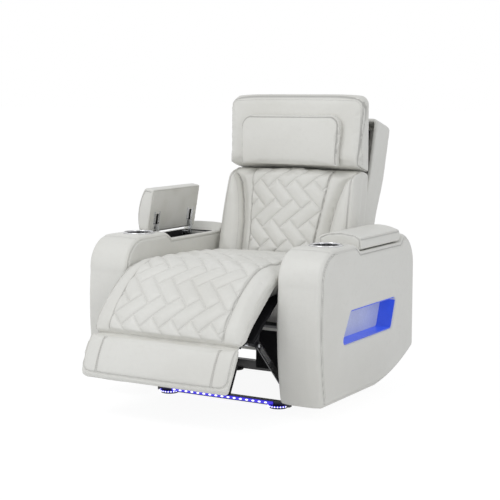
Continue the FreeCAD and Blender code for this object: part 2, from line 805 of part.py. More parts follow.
deep = arm_outer - d.window_depth
floor = deep + d.window_wall
diffuser = new_body("window_panels")
diffuser_outline = window_loop(d.window_wall + d.fit_gap * 2)
for name, side in SIDES.items():
    housing = new_body(f"window_housing_{name}")
    outline = window_loop(d.fit_gap)
    add(housing, "YZ_Plane", *span(side, deep, arm_outer - d.window_lip), outline)
    round_corners(housing, "YZ_Plane", outline, d.window_corner - d.fit_gap)
    inner = window_loop(d.fit_gap + d.window_wall)
    cut(housing, "YZ_Plane", *span(side, floor, arm_outer + d.overrun), inner)
    round_corners(housing, "YZ_Plane", inner, d.window_corner - d.fit_gap - d.window_wall)
    add(diffuser, "YZ_Plane", *span(side, floor, floor + d.window_wall), diffuser_outline)
round_corners(diffuser, "YZ_Plane", diffuser_outline, d.window_corner - d.fit_gap * 2 - d.window_wall)

# Button panel with four square keys

panel = new_body("control_panel")
inset_panel = box(d.fit_gap - d.panel_front, d.panel_low + d.fit_gap, -d.panel_rear - d.fit_gap,
                  d.panel_high - d.fit_gap)
panel_middle = (d.panel_low + d.panel_high) * 0.5
button_pitch = (d.panel_front - d.panel_rear) * 0.25
button_lines = [button_pitch * (count + 0.5) - d.panel_front for count in range(4)]
panel_face = d.bay_half - d.panel_lip
add(panel, "YZ_Plane", panel_face, d.bay_half + d.panel_depth - d.fit_gap, inset_panel)
button_back = d.bay_half + d.button_seat
cut(panel, "YZ_Plane", panel_face - d.overrun, button_back + d.button_travel + d.fit_gap,
    *[square(line, panel_middle, d.button_half + d.fit_gap) for line in button_lines])
for count, line in enumerate(button_lines, start=1):
    button = new_body(f"button_{count}")
    add(button, "YZ_Plane", panel_face - d.button_rise, button_back,
        square(line, panel_middle, d.button_half))

# Power supply on the rear bar, with its inlet at the back

supply = new_body("power_supply")
supply_rear = d.foot_rear
add(supply, "XY_Plane", tube_top, tube_top + d.supply_height,
    box(d.supply_offset - d.supply_width * 0.5, supply_rear - d.supply_length,
        d.supply_offset + d.supply_width * 0.5, supply_rear))
inlet_low = tube_top + (d.supply_height - d.inlet_height) * 0.5
cut(supply, "XZ_Plane", supply_rear - d.inlet_depth, supply_rear + d.overrun,
    box(d.supply_offset - d.inlet_width * 0.5, inlet_low,
        d.supply_offset + d.inlet_width * 0.5, inlet_low + d.inlet_height))

# Lower rear panel between the arms

skirt = new_body("rear_skirt")
add(skirt, "XZ_Plane", d.skirt_setback, d.skirt_setback + d.skirt_thick,
    box(-d.bay_half, d.skirt_bottom, d.bay_half, d.skirt_top))


# Steel side plates that carry the footrest linkage between seat rails and base tubes

EYE_RUN_SHARE = 0.1045
EYE_RISE_SHARE = 0.9945
head = d.plate_head_radius
base_y, base_z = base_pivot
plate_foot = d.base_tube_lift + d.link_thick
plate_profile = [
    (knee[0] - head * 0.966, knee[1] - head * 0.259, (head, -1)),
    (knee[0] + head * 0.94, knee[1] + head * 0.342),
    (base_y + head, d.rail_bottom - head * 0.5),
    (base_y + head * 2.5, d.rail_top - head * 0.6),
    (base_y + head * 7.5, d.rail_top - head * 0.6),
    (base_y + head * 7.5, d.rail_bottom - head * 0.3),
    (base_y + head * 2.5, base_z - head),
    (base_y + head * 5.5, tube_top),
    (base_y + head * 5.5, plate_foot),
    (base_y - head * 1.75, plate_foot),
    (base_y - head * 1.75, tube_top + head * 0.5),
    (base_y - head * 1.5, base_z - head * 0.5),
]
plate = new_body("mechanism_plates")
for side in SIDES.values():
    add(plate, "YZ_Plane", *span(side, plate_inner, plate_outer), plate_profile,
        ("circle", knee[0], knee[1], hole_radius), ("circle", base_y, base_z, hole_radius))

# Brackets on the seat frame that carry the back's axis

bracket_head = d.pin_radius + d.link_thick * 2.5
bracket_low = d.rail_bottom + d.rail_bridge + d.fit_gap
back_bracket = [
    (back_axis[0] - bracket_head * 0.5, back_axis[1] + bracket_head * 0.866),
    (d.seat_frame_rear - head * 4, d.rail_top - head * 0.5),
    (d.seat_frame_rear - head * 4, bracket_low),
    (d.seat_frame_rear, bracket_low),
    (back_axis[0] + bracket_head * 0.5, back_axis[1] - bracket_head * 0.866, (bracket_head, 1)),
]
mount = new_body("back_brackets")
for side in SIDES.values():
    add(mount, "YZ_Plane", *span(side, plate_inner, plate_outer), back_bracket,
        ("circle", back_axis[0], back_axis[1], hole_radius))

# Footrest pad and board in the frame of the knee axis, which leans by the rest angle

rest_turn = (X_AXIS, d.rest_angle)
knee_base = (ZERO, knee[0], knee[1])
fold_rise = d.pad_rise - d.fold_depth
fold_spot = (-d.pad_reach, fold_rise)
slab = d.pad_board_thick
relief = tangent(d.fold_relief_angle)
barrel_room = d.fold_barrel_radius + d.fold_room
rest_half = d.cushion_half + d.fold_lip
legrest_pad = new_body("legrest_pad", knee_base, rest_turn)
crest = d.pad_rise * cosine(d.crest_angle)
legrest_profile = [
    (d.fold_lip - d.pad_reach, d.pad_rise, (d.calf_crown_radius, -1)),
    (-d.crown_run, d.crown_rise, (d.crest_radius, -1)),
    (crest, d.pad_rise * sine(d.crest_angle), (d.pad_rise, -1)),
    (d.pad_rise * cosine(d.roll_angle), -d.pad_rise * sine(d.roll_angle)),
    (d.roll_inner * cosine(d.roll_angle), -d.roll_inner * sine(d.roll_angle), (d.roll_inner, 1)),
    (d.roll_inner * cosine(d.roll_inner_angle), d.roll_inner * sine(d.roll_inner_angle)),
    (-d.board_start, slab),
    ((fold_rise - slab) * relief - d.pad_reach, slab),
    (barrel_room - d.pad_reach, fold_rise - barrel_room / relief),
    (barrel_room - d.pad_reach, fold_rise + d.fold_barrel_radius),
    (d.fold_lip * 1.3 - d.pad_reach, fold_rise + barrel_room),
]
add(legrest_pad, "YZ_Plane", -rest_half, rest_half, legrest_profile)
bevel_rims(legrest_pad, "YZ_Plane", [-rest_half, rest_half], d.cushion_edge,
           legrest_profile[3:5] + legrest_profile[7:])
legrest_board = new_body("legrest_board", knee_base, rest_turn)
board_half = plate_outer
add(legrest_board, "YZ_Plane", -board_half, board_half, box(-d.board_end, ZERO, -d.board_start, slab))

# Footrest brackets with the knee pins

lean = d.swing_angle - d.rest_angle
board_eye = (-d.swing_length * cosine(lean), -d.swing_length * sine(lean))
eye = d.link_radius
bracket_profile = [
    (d.plate_head_radius * 0.4, -d.plate_head_radius * 0.6928, (d.plate_head_radius * 0.8, 1)),
    (-d.plate_head_radius * 0.2736, d.plate_head_radius * 0.7518),
    (-d.board_start, ZERO),
    (-d.board_end, ZERO),
    (-d.board_end, -eye),
    (board_eye[0] - eye * 0.9659, board_eye[1] + eye * 0.2588, (eye, 1)),
    (board_eye[0] + eye * 0.9063, board_eye[1] - eye * 0.4226),
    (board_eye[0] + eye * 3, -eye * 1.5),
]
bracket = new_body("legrest_brackets", knee_base, rest_turn)
for side in SIDES.values():
    add(bracket, "YZ_Plane", *span(side, bracket_inner, bracket_outer), bracket_profile,
        ("circle", board_eye[0], board_eye[1], hole_radius))
    add(bracket, "YZ_Plane", *span(side, bracket_inner, plate_outer + d.link_gap),
        ("circle", ZERO, ZERO, d.pin_radius))

# Piano hinge at the fold: barrels, leaves and pin

hinge_third = board_half * 0.3
leaf_slope = tangent(d.leaf_angle)
leaf_thick = d.cup_wall
leaf_top = fold_rise - d.fold_barrel_radius * 0.8
upper_leaf = [
    (fold_spot[0] + d.fold_barrel_radius * 0.6, leaf_top),
    (fold_spot[0] + fold_rise * leaf_slope, ZERO),
    (fold_spot[0] + fold_rise * leaf_slope + slab * 2, ZERO),
    (fold_spot[0] + fold_rise * leaf_slope + slab * 2, -leaf_thick),
    (fold_spot[0] + fold_rise * leaf_slope - leaf_thick, -leaf_thick),
    (fold_spot[0] + d.fold_barrel_radius * 0.6 - leaf_thick * 1.5, leaf_top),
]
fold_upper = new_body("fold_hinge_upper", knee_base, rest_turn)
leaf_half = bracket_inner - d.link_gap
for side in (-1, 1):
    edges = span(side, hinge_third, leaf_half)
    add(fold_upper, "YZ_Plane", *edges, upper_leaf)
    add(fold_upper, "YZ_Plane", *edges, ("circle", fold_spot[0], fold_spot[1], d.fold_barrel_radius))
add(fold_upper, "YZ_Plane", -leaf_half, leaf_half,
    ("circle", fold_spot[0], fold_spot[1], d.fold_barrel_radius * 0.5))

# Foot flap: pad, board and its half of the piano hinge, in the frame of the fold


def placed(origin, angle, along, rise):
    """A place given in a frame that leans by an angle about X, in the chair's frame."""
    return (origin[0] + along * cosine(angle) - rise * sine(angle),
            origin[1] + along * sine(angle) + rise * cosine(angle))


fold = placed(knee, d.rest_angle, *fold_spot)
fold_base = (ZERO, fold[0], fold[1])
flap_turn = (X_AXIS, d.rest_angle + d.fold_angle)
flap_low = d.fold_depth - d.flap_pad_thick
flap_board_low = flap_low - d.flap_board_thick
foot_pad = new_body("foot_pad", fold_base, flap_turn)
flap_profile = [
    (-d.fold_lip, d.fold_depth),
    (-d.fold_lip * 1.3, barrel_room),
    (-barrel_room, d.fold_barrel_radius),
    (-barrel_room, -barrel_room / relief),
    (flap_low * relief, flap_low),
    (-d.flap_reach, flap_low),
    (-d.flap_reach, d.fold_depth),
]
add(foot_pad, "YZ_Plane", -rest_half, rest_half, flap_profile)
round_corners(foot_pad, "YZ_Plane", [(-d.flap_reach, flap_low), (-d.flap_reach, d.fold_depth)],
              d.flap_roll_radius)
bevel_rims(foot_pad, "YZ_Plane", [-rest_half, rest_half], d.cushion_edge, flap_profile[:5])
foot_board = new_body("foot_board", fold_base, flap_turn)
flap_board_start = flap_board_low * relief - d.fold_lip
add(foot_board, "YZ_Plane", -board_half, board_half,
    box(slab - d.flap_reach, flap_board_low, flap_board_start, flap_low))
leaf_end = flap_board_low * leaf_slope
lower_leaf = [
    (-d.fold_barrel_radius * 0.6, -d.fold_barrel_radius * 0.8),
    (leaf_end, flap_board_low),
    (leaf_end - slab * 2, flap_board_low),
    (leaf_end - slab * 2, flap_board_low - leaf_thick),
    (leaf_end + leaf_thick, flap_board_low - leaf_thick),
    (leaf_thick * 1.5 - d.fold_barrel_radius * 0.6, -d.fold_barrel_radius * 0.8),
]
fold_lower = new_body("fold_hinge_lower", fold_base, flap_turn)
lower_half = hinge_third - d.fit_gap
add(fold_lower, "YZ_Plane", -lower_half, lower_half, lower_leaf)
add(fold_lower, "YZ_Plane", -lower_half, lower_half, ("circle", ZERO, ZERO, d.fold_barrel_radius))
cut(fold_lower, "YZ_Plane", -hinge_third, hinge_third,
    ("circle", ZERO, ZERO, d.fold_barrel_radius * 0.5 + d.fit_gap))

# Swing links, carry links and the tubes that join each pair


def link_outline(length, radius):
    """A flat bar with round eyes, from the frame's origin along -Y."""
    run, rise = radius * EYE_RUN_SHARE, radius * EYE_RISE_SHARE
    return [
        (run, -rise, (radius, 1)),
        (run, rise),
        (-length - run, rise, (radius, 1)),
        (-length - run, -rise),
    ]


swing_base = (ZERO, base_y, base_z)
swing_turn = (X_AXIS, d.swing_angle)
carry_base = (ZERO, board_pivot[0], board_pivot[1])
carry_turn = (X_AXIS, 180 - d.carry_angle)
open_hole = hole_radius + d.pivot_play
swing = new_body("swing_links", swing_base, swing_turn)
carry = new_body("carry_links", carry_base, carry_turn)
for side in SIDES.values():
    add(swing, "YZ_Plane", *span(side, swing_inner, swing_outer), link_outline(d.swing_length, eye))
    add(swing, "YZ_Plane", *span(side, swing_outer, plate_outer + d.link_gap),
        ("circle", ZERO, ZERO, d.pin_radius))
    add(swing, "YZ_Plane", *span(side, carry_inner - d.fold_lip, swing_outer),
        ("circle", -d.swing_length, ZERO, d.pin_radius))
    add(carry, "YZ_Plane", *span(side, carry_inner, carry_outer), link_outline(d.carry_length, eye),
        ("circle", -d.carry_length, ZERO, open_hole))
cross_rod = new_body("cross_rod", carry_base, carry_turn)
add(cross_rod, "YZ_Plane", -carry_inner, carry_inner, ("circle", ZERO, ZERO, d.cross_rod_radius))

fork_inner = d.nut_width * 0.5 + d.fold_lip
fork_outer = fork_inner + d.fork_thick
fork_slot = d.nut_pin_radius + d.fork_play


def fork_outline(drop, reach):
    """An arm with an open slot at its end, from the frame's origin along -Z."""
    slot_start = -(drop - d.nut_pin_radius - d.fork_play * 2)
    return [
        (-d.fork_half, -reach),
        (-fork_slot, -reach),
        (-fork_slot, slot_start),
        (fork_slot, slot_start),
        (fork_slot, -reach),
        (d.fork_half, -reach),
        (d.fork_half, ZERO),
        (-d.fork_half, ZERO),
    ]


def fork_reach(drop, swing):
    return drop / cosine(swing) + d.nut_pin_radius + d.fork_play


torque = new_body("torque_tube", swing_base, (X_AXIS, -d.leg_drive_lead))
add(torque, "YZ_Plane", -swing_inner, swing_inner, ("circle", ZERO, ZERO, d.torque_radius))
add(torque, "YZ_Plane", fork_inner, fork_outer,
    fork_outline(d.leg_drive_drop, fork_reach(d.leg_drive_drop, d.leg_drive_swing)))


# Linear drives: a track with gearbox and motor, and a nut with a pin for the fork


def drive(label, base, turn, track_low, track_high, gear_low, motor_side):
    """Track, gearbox and motor along the frame's Y, with the track's middle at the origin."""
    body = new_body(f"{label}_drive", base, turn)
    half_width, half_height = d.track_width * 0.5, d.track_height * 0.5
    add(body, "XZ_Plane", track_low, track_high, box(-half_width, -half_height, half_width, half_height))
    gear = d.gearbox_size * 0.5
    gear_high = gear_low + d.gearbox_length
    add(body, "XZ_Plane", gear_low, gear_high, box(-gear, -gear, gear, gear))
    add(body, "YZ_Plane", *span(motor_side, gear - d.fit_gap, gear + d.motor_length),
        ("circle", gear_low + d.gearbox_length * 0.5, ZERO, d.motor_radius * 0.85))
    return body


def nut(label, base, turn):
    """A sleeve on the track with a pin along X."""
    body = new_body(f"{label}_nut", base, turn)
    half_width, half_height = d.nut_width * 0.5, d.nut_height * 0.5
    bore_width = d.track_width * 0.5 + d.fit_gap
    bore_height = d.track_height * 0.5 + d.fit_gap
    add(body, "XZ_Plane", -d.nut_length * 0.5, d.nut_length * 0.5,
        box(-half_width, -half_height, half_width, half_height),
        box(-bore_width, -bore_height, bore_width, bore_height))
    add(body, "YZ_Plane", bore_width + d.fit_gap, fork_outer + d.fold_lip,
        ("circle", ZERO, ZERO, d.nut_pin_radius))
    return body


leg_track = base_z - d.leg_drive_drop
leg_nut_rest = base_y - d.leg_drive_drop * d.leg_drive_rate * d.leg_drive_lead * (math.pi / 180)
leg_drive = drive("leg", (ZERO, ZERO, leg_track), None, base_y - d.leg_drive_drop, d.leg_gear_front,
                  d.leg_gear_front, -1)
hanger_half = d.gearbox_size * 0.5
add(leg_drive, "XZ_Plane", d.seat_frame_rear - d.rail_thick, d.leg_gear_front + d.gearbox_length,
    box(-hanger_half, ZERO, hanger_half, d.rail_bottom - leg_track))
nut("leg", (ZERO, leg_nut_rest, leg_track), None)

back_track = back_axis[1] - d.back_drive_drop
back_nut_rest = back_axis[0] + d.back_drive_drop * tangent(d.back_drive_lead)
back_drive = drive("back", (d.back_drive_offset, ZERO, back_track), None,
                   d.back_gear_front + d.gearbox_length,
                   back_nut_rest + d.nut_length * 0.5 + d.fold_lip, d.back_gear_front, 1)
add(back_drive, "YZ_Plane", -hanger_half, hanger_half, [
    (d.back_gear_front + d.gearbox_length, ZERO),
    (d.seat_frame_rear - d.rail_thick, ZERO),
    (d.seat_frame_rear - d.rail_thick, d.rail_top - back_track - d.fold_lip),
    (d.seat_frame_rear - d.rail_thick - d.link_thick, d.rail_top - back_track - d.fold_lip),
    (d.seat_frame_rear - d.rail_thick - d.link_thick, d.track_height * 0.5),
    (d.back_gear_front + d.gearbox_length, d.track_height * 0.5),
])
nut("back", (d.back_drive_offset, back_nut_rest, back_track), None)

# Back: welded frame of square tube on the recline axis, with its drive fork

back_base = (ZERO, back_axis[0], back_axis[1])
back_turn = (X_AXIS, -d.back_angle)
panel_rear = d.back_cushion_rear + d.back_panel_thick
tube_plane = panel_rear + d.back_tube_half
back_frame = new_body("back_frame", back_base, back_turn)
upright_start = -d.back_tube_half * 0.5
upright_line = d.shell_half - d.shell_wall - d.upright_gap - d.back_tube_half
for side in (-1, 1):
    add(back_frame, "XY_Plane", upright_start, d.back_tube_top,
        square(upright_line * side, tube_plane, d.back_tube_half))
tube_reach = upright_line + d.back_tube_half * 0.5
for rise in (d.back_gear_rise - d.back_tube_half, d.back_tube_top - d.back_tube_half):
    add(back_frame, "YZ_Plane", -tube_reach, tube_reach, square(tube_plane, rise, d.back_tube_half))
axle_radius = d.pin_radius + d.link_thick
axle_reach = plate_inner - d.link_gap
add(back_frame, "YZ_Plane", -axle_reach, axle_reach, ("circle", ZERO, ZERO, axle_radius))
for side in (-1, 1):
    add(back_frame, "YZ_Plane",
        *span(side, upright_line - d.link_thick, upright_line + d.link_thick), [
            (ZERO, -axle_radius * 0.9),
            (tube_plane, upright_start),
            (tube_plane, d.back_tube_half * 1.6),
            (ZERO, axle_radius * 0.9),
        ])
back_journal = plate_outer + d.link_gap
add(back_frame, "YZ_Plane", -back_journal, back_journal, ("circle", ZERO, ZERO, d.pin_radius))
back_fork = new_body("back_fork", back_base, (X_AXIS, d.back_drive_lead))
fork_start = d.back_drive_offset + fork_inner
add(back_fork, "YZ_Plane", fork_start, fork_start + d.fork_thick,
    fork_outline(d.back_drive_drop, fork_reach(d.back_drive_drop, d.back_drive_lead)))
cut(back_fork, "YZ_Plane", fork_start - d.overrun, fork_start + d.fork_thick + d.overrun,
    ("circle", ZERO, ZERO, axle_radius))

# Back panel, cushion with side wings, and the outer shell

back_panel = new_body("back_panel", back_base, back_turn)
panel_half = d.shell_half - d.shell_wall - d.fit_gap
add(back_panel, "XZ_Plane", d.back_cushion_rear, panel_rear,
    box(-panel_half, d.back_cushion_bottom, panel_half, d.back_cushion_top - d.back_panel_thick))
back_cushion = new_body("back_cushion", back_base, back_turn)
add(back_cushion, "XZ_Plane", -d.back_front, d.back_cushion_rear, [
    (-d.back_bottom_half, d.back_cushion_bottom),
    (d.back_bottom_half, d.back_cushion_bottom),
    (d.back_top_half, d.back_cushion_top),
    (-d.back_top_half, d.back_cushion_top),
])
cut(back_cushion, "XZ_Plane", -d.back_front, d.wing_depth - d.back_front, [
    (-d.panel_half_bottom, d.back_cushion_bottom - d.overrun),
    (d.panel_half_bottom, d.back_cushion_bottom - d.overrun),
    (d.panel_half_top, d.back_cushion_top + d.overrun),
    (-d.panel_half_top, d.back_cushion_top + d.overrun),
])
round_rims(back_cushion, "XZ_Plane", [-d.back_front], d.cushion_edge)

back_shell = new_body("back_shell", back_base, back_turn)
add(back_shell, "XY_Plane", -d.shell_bottom, d.shell_top, [
    (-d.shell_half, d.shell_front),
    (d.shell_wall - d.shell_half, d.shell_front),
    (d.shell_wall - d.shell_half, d.shell_rear - d.shell_wall),
    (d.shell_half - d.shell_wall, d.shell_rear - d.shell_wall),
    (d.shell_half - d.shell_wall, d.shell_front),
    (d.shell_half, d.shell_front),
    (d.shell_half, d.shell_rear),
    (-d.shell_half, d.shell_rear),
])
add(back_shell, "XY_Plane", d.shell_top - d.shell_wall, d.shell_top,
    box(-d.shell_half, d.shell_front, d.shell_half, d.shell_rear))
round_corners(back_shell, "XZ_Plane", [(-d.shell_half, d.shell_top), (d.shell_half, d.shell_top)],
              d.shell_wall * 1.6)

# Headrest drive in the back, upright behind the panel

drive_plane = d.head_axis_plane + d.head_drive_drop
upright_turn = (X_AXIS, 90 - d.back_angle)
drive_spot = placed(back_axis, -d.back_angle, drive_plane, ZERO)
head_drive = drive("head", (ZERO, drive_spot[0], drive_spot[1]), upright_turn,
                   d.back_gear_rise + d.gearbox_length, d.head_track_top, d.back_gear_rise, 1)
add(head_drive, "XZ_Plane", d.back_gear_rise, d.back_gear_rise + d.gearbox_length,
    box(-hanger_half, ZERO, hanger_half, drive_plane - tube_plane + d.back_tube_half * 0.5))
nut_rise = d.head_axis_rise + d.head_drive_drop * tangent(d.head_drive_lead)
nut_spot = placed(back_axis, -d.back_angle, drive_plane, nut_rise)
nut("head", (ZERO, nut_spot[0], nut_spot[1]), upright_turn)

# Headrest brackets on the uprights

head_head = d.link_radius
arm_stop = upright_line - d.back_tube_half
bracket_start = arm_stop - d.link_thick
ear = new_body("head_brackets", back_base, back_turn)
for side in SIDES.values():
    add(ear, "YZ_Plane", *span(side, bracket_start, arm_stop), [
        (d.head_axis_plane - head_head, d.head_axis_rise - head_head * 0.6),
        (tube_plane + d.back_tube_half, d.head_axis_rise - head_head * 3),
        (tube_plane + d.back_tube_half, d.head_axis_rise + head_head * 3),
        (d.head_axis_plane - head_head, d.head_axis_rise + head_head),
    ], ("circle", d.head_axis_plane, d.head_axis_rise, hole_radius))

# Headrest: yoke with arms, pins and fork, board, cushion and raised pillow

head_axis = placed(back_axis, -d.back_angle, d.head_axis_plane, d.head_axis_rise)
head_base = (ZERO, head_axis[0], head_axis[1])
head_turn = (X_AXIS, d.head_angle)
yoke = new_body("head_yoke", head_base, head_turn)
yoke_arm = bracket_start - d.link_gap
add(yoke, "YZ_Plane", -yoke_arm, yoke_arm, ("circle", ZERO, ZERO, d.pin_radius + d.cup_wall * 2))
add(yoke, "YZ_Plane", -arm_stop, arm_stop, ("circle", ZERO, ZERO, d.pin_radius))
arm_rise = d.head_top * 0.6
for side in (-1, 1):
    add(yoke, "YZ_Plane", *span(side, yoke_arm - d.link_thick * 2, yoke_arm), [
        (d.link_thick - d.head_rear, head_head * 2),
        (d.link_thick, -d.pin_radius),
        (d.pin_radius * 1.5, d.pin_radius),
        (d.link_thick * 3 - d.head_rear, arm_rise * 0.5),
        (d.link_thick * 2 - d.head_rear, arm_rise),
        (-d.head_rear, arm_rise),
        (-d.head_rear, head_head * 2),
    ])
fork_turn = (X_AXIS, 90 - d.back_angle + d.head_drive_lead)
head_fork = new_body("head_fork", head_base, fork_turn)
add(head_fork, "YZ_Plane", fork_inner, fork_outer,
    fork_outline(d.head_drive_drop, fork_reach(d.head_drive_drop, d.head_drive_swing)))
cut(head_fork, "YZ_Plane", ZERO, fork_outer + d.overrun,
    ("circle", ZERO, ZERO, d.pin_radius + d.cup_wall * 2))
head_cushion = new_body("head_cushion", head_base, head_turn)
head_profile = [
    (-d.head_rear, d.head_bottom_rear),
    (-d.head_rear, d.head_top),
    (-d.head_top_front, d.head_top),
    (-d.head_front, d.head_bottom_front + d.pillow_thick),
    (-d.head_front, d.head_bottom_front),
]
add(head_cushion, "YZ_Plane", -d.head_half, d.head_half, head_profile)
round_corners(head_cushion, "XZ_Plane", [(-d.head_half, d.head_top), (d.head_half, d.head_top)],
              d.head_corner_radius)
bevel_rims(head_cushion, "XZ_Plane", [-d.head_rear], d.cushion_edge)
head_pillow = new_body("head_pillow", head_base, head_turn)
pillow_front = d.head_front + d.pillow_thick
pillow_seat = d.head_front + d.fit_gap
pillow_break = d.head_bottom_front + d.pillow_thick
face_lean = (d.head_front - d.head_top_front) / (d.head_top - pillow_break)
pillow_seat_top = pillow_seat - (d.pillow_top - pillow_break) * face_lean
pillow_profile = [
    (-pillow_seat, d.pillow_bottom),
    (-pillow_seat, pillow_break),
    (-pillow_seat_top, d.pillow_top),
    (-pillow_seat_top - d.pillow_thick, d.pillow_top, (d.pillow_crown_radius, 1)),
    (-pillow_front, pillow_break, (d.pillow_crown_radius, 1)),
    (-pillow_front, d.pillow_bottom),
]
add(head_pillow, "YZ_Plane", -d.pillow_half, d.pillow_half, pillow_profile)
round_corners(head_pillow, "XZ_Plane", [(-d.pillow_half, d.pillow_top), (d.pillow_half, d.pillow_top)],
              d.pillow_corner_radius)

doc.recompute()

# Check every object and write one file for each piece

for item in doc.Objects:
    if "Invalid" in item.State or "Error" in item.State:
        raise ValueError(f"{item.Label} failed: {item.State}")
os.makedirs("parts", exist_ok=True)
for body in parts:
    if body.Shape.isNull() or not body.Shape.isValid():
        raise ValueError(f"{body.Label} has no valid shape")
    body.Shape.exportStep(f"parts/{body.Label}.step")
    print(body.Label, len(body.Shape.Solids), round(body.Shape.Volume))
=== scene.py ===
import bmesh
import bpy
import math
import numpy as np
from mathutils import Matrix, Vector
from mathutils.bvhtree import BVHTree


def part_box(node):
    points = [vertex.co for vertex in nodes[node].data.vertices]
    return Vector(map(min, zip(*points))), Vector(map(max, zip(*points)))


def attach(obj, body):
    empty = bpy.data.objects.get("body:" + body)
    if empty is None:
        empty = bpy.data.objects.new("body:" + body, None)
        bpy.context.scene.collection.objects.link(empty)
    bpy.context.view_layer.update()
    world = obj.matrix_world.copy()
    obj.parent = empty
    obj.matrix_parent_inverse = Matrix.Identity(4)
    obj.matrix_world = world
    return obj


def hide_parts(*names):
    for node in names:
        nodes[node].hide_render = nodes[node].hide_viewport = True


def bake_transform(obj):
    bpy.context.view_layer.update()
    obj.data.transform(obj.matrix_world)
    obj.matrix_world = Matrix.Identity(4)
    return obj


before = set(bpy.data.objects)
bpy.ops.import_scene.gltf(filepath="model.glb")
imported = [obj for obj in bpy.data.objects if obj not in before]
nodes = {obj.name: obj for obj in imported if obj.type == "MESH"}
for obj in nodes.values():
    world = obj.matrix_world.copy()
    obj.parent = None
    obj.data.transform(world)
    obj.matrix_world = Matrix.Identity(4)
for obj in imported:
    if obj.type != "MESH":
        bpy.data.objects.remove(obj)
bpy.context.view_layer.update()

# Camera and room.
# The camera stands at the right front of the chair, a little above the arms, and looks slightly down.
# The floor is pale and matt. A soft panel above, a weak one low in front and one at the right light the chair.

eye = Vector((2.4468, -4.0884, 1.1133))
gaze = Vector((-0.5077, 0.8528, -0.1219))
lens = bpy.data.cameras.new("camera")
lens.lens = 93.6
lens.sensor_width = 36.0
camera = bpy.data.objects.new("camera", lens)
camera.location = eye
camera.rotation_euler = gaze.to_track_quat("-Z", "Y").to_euler()
bpy.context.scene.collection.objects.link(camera)
bpy.context.scene.camera = camera
bpy.context.scene.view_settings.view_transform = "Standard"


def node_material(name):
    """A new material with a Principled shader; returns the material, its tree and the shader."""
    mat = bpy.data.materials.new(name)
    mat.use_nodes = True
    return mat, mat.node_tree, mat.node_tree.nodes["Principled BSDF"]


def add_node(tree, kind, settings=None, **sockets):
    """A node of the given kind; settings go to its properties, other values to its inputs."""
    item = tree.nodes.new(kind)
    for name, value in (settings or {}).items():
        setattr(item, name, value)
    for name, value in sockets.items():
        item.inputs[name.replace("_", " ")].default_value = value
    return item


def seen_by(tree, *rays):
    """1 for the named kinds of ray, else 0."""
    path = tree.nodes.new("ShaderNodeLightPath")
    total = path.outputs[rays[0]]
    for ray in rays[1:]:
        joint = add_node(tree, "ShaderNodeMath", {"operation": "MAXIMUM"})
        tree.links.new(total, joint.inputs[0])
        tree.links.new(path.outputs[ray], joint.inputs[1])
        total = joint.outputs[0]
    return total


floor_mat, tree, shader = node_material("pale floor")
shader.inputs["Base Color"].default_value = (0.90, 0.90, 0.90, 1)
shader.inputs["Roughness"].default_value = 0.9
shader.inputs["Specular IOR Level"].default_value = 0.05
glow = add_node(tree, "ShaderNodeEmission", Strength=1.10)
share = add_node(tree, "ShaderNodeMapRange", To_Min=0.12, To_Max=0.84)
tree.links.new(seen_by(tree, "Is Camera Ray", "Is Glossy Ray", "Is Transmission Ray"), share.inputs[0])
mix = tree.nodes.new("ShaderNodeMixShader")
tree.links.new(share.outputs[0], mix.inputs[0])
tree.links.new(shader.outputs[0], mix.inputs[1])
tree.links.new(glow.outputs[0], mix.inputs[2])
tree.links.new(mix.outputs[0], tree.nodes["Material Output"].inputs[0])
floor_mesh = bpy.data.meshes.new("floor")
floor_mesh.from_pydata([(-60, -60, 0), (60, -60, 0), (60, 60, 0), (-60, 60, 0)], [], [(0, 1, 2, 3)])
floor_mesh.materials.append(floor_mat)
floor = bpy.data.objects.new("floor", floor_mesh)
bpy.context.scene.collection.objects.link(floor)

world = bpy.data.worlds.new("room")
world.use_nodes = True
bpy.context.scene.world = world
tree = world.node_tree
room = tree.nodes["Background"]
room.inputs[0].default_value = (0.95, 0.97, 1.0, 1)
room.inputs[1].default_value = 0.61
white = tree.nodes.new("ShaderNodeBackground")
white.inputs[0].default_value = (1, 1, 1, 1)
mix = tree.nodes.new("ShaderNodeMixShader")
tree.links.new(seen_by(tree, "Is Camera Ray", "Is Glossy Ray", "Is Transmission Ray"), mix.inputs[0])
tree.links.new(room.outputs[0], mix.inputs[1])
tree.links.new(white.outputs[0], mix.inputs[2])
tree.links.new(mix.outputs[0], tree.nodes["World Output"].inputs[0])


def soft_panel(name, place, aim, size, power):
    lamp = bpy.data.lights.new(name, "AREA")
    lamp.shape = "RECTANGLE"
    lamp.size, lamp.size_y = size
    lamp.energy = power
    item = bpy.data.objects.new(name, lamp)
    item.location = place
    item.rotation_euler = (Vector(aim) - Vector(place)).to_track_quat("-Z", "Y").to_euler()
    bpy.context.scene.collection.objects.link(item)


soft_panel("panel overhead", place=(-0.6, -1.9, 3.0), aim=(0, -0.2, 0.4), size=(1.5, 1.3), power=26)
soft_panel("panel low front", place=(-1.0, -2.6, 0.7), aim=(0, -0.4, 0.3), size=(1.6, 0.8), power=3)
soft_panel("panel right", place=(3.0, -1.6, 1.6), aim=(-0.3, 0, 0.6), size=(1.6, 1.4), power=11.5)


# Ivory leatherette for every cushion, pad and panel.
# It is a grained cover over foam: sewn lines press a narrow crease, quilting makes wider channels,
# and soft wrinkles and a slight unevenness of colour run over the broad panels. Creases and channels
# are also darkened with painted shade.

IVORY = (0.760, 0.752, 0.712, 1)
IVORY_SHADE = (0.700, 0.690, 0.645, 1)
# Colour of the painted shade in seam creases and quilting channels.
PAINTED_CREASE_SHADE = (0.190, 0.182, 0.170, 1)
NO_SEAM = 0.03


def chain_bump(tree, height, distance, strength, before=None):
    bump = add_node(tree, "ShaderNodeBump", Distance=distance, Strength=strength)
    tree.links.new(height, bump.inputs["Height"])
    if before:
        tree.links.new(before, bump.inputs["Normal"])
    return bump.outputs["Normal"]


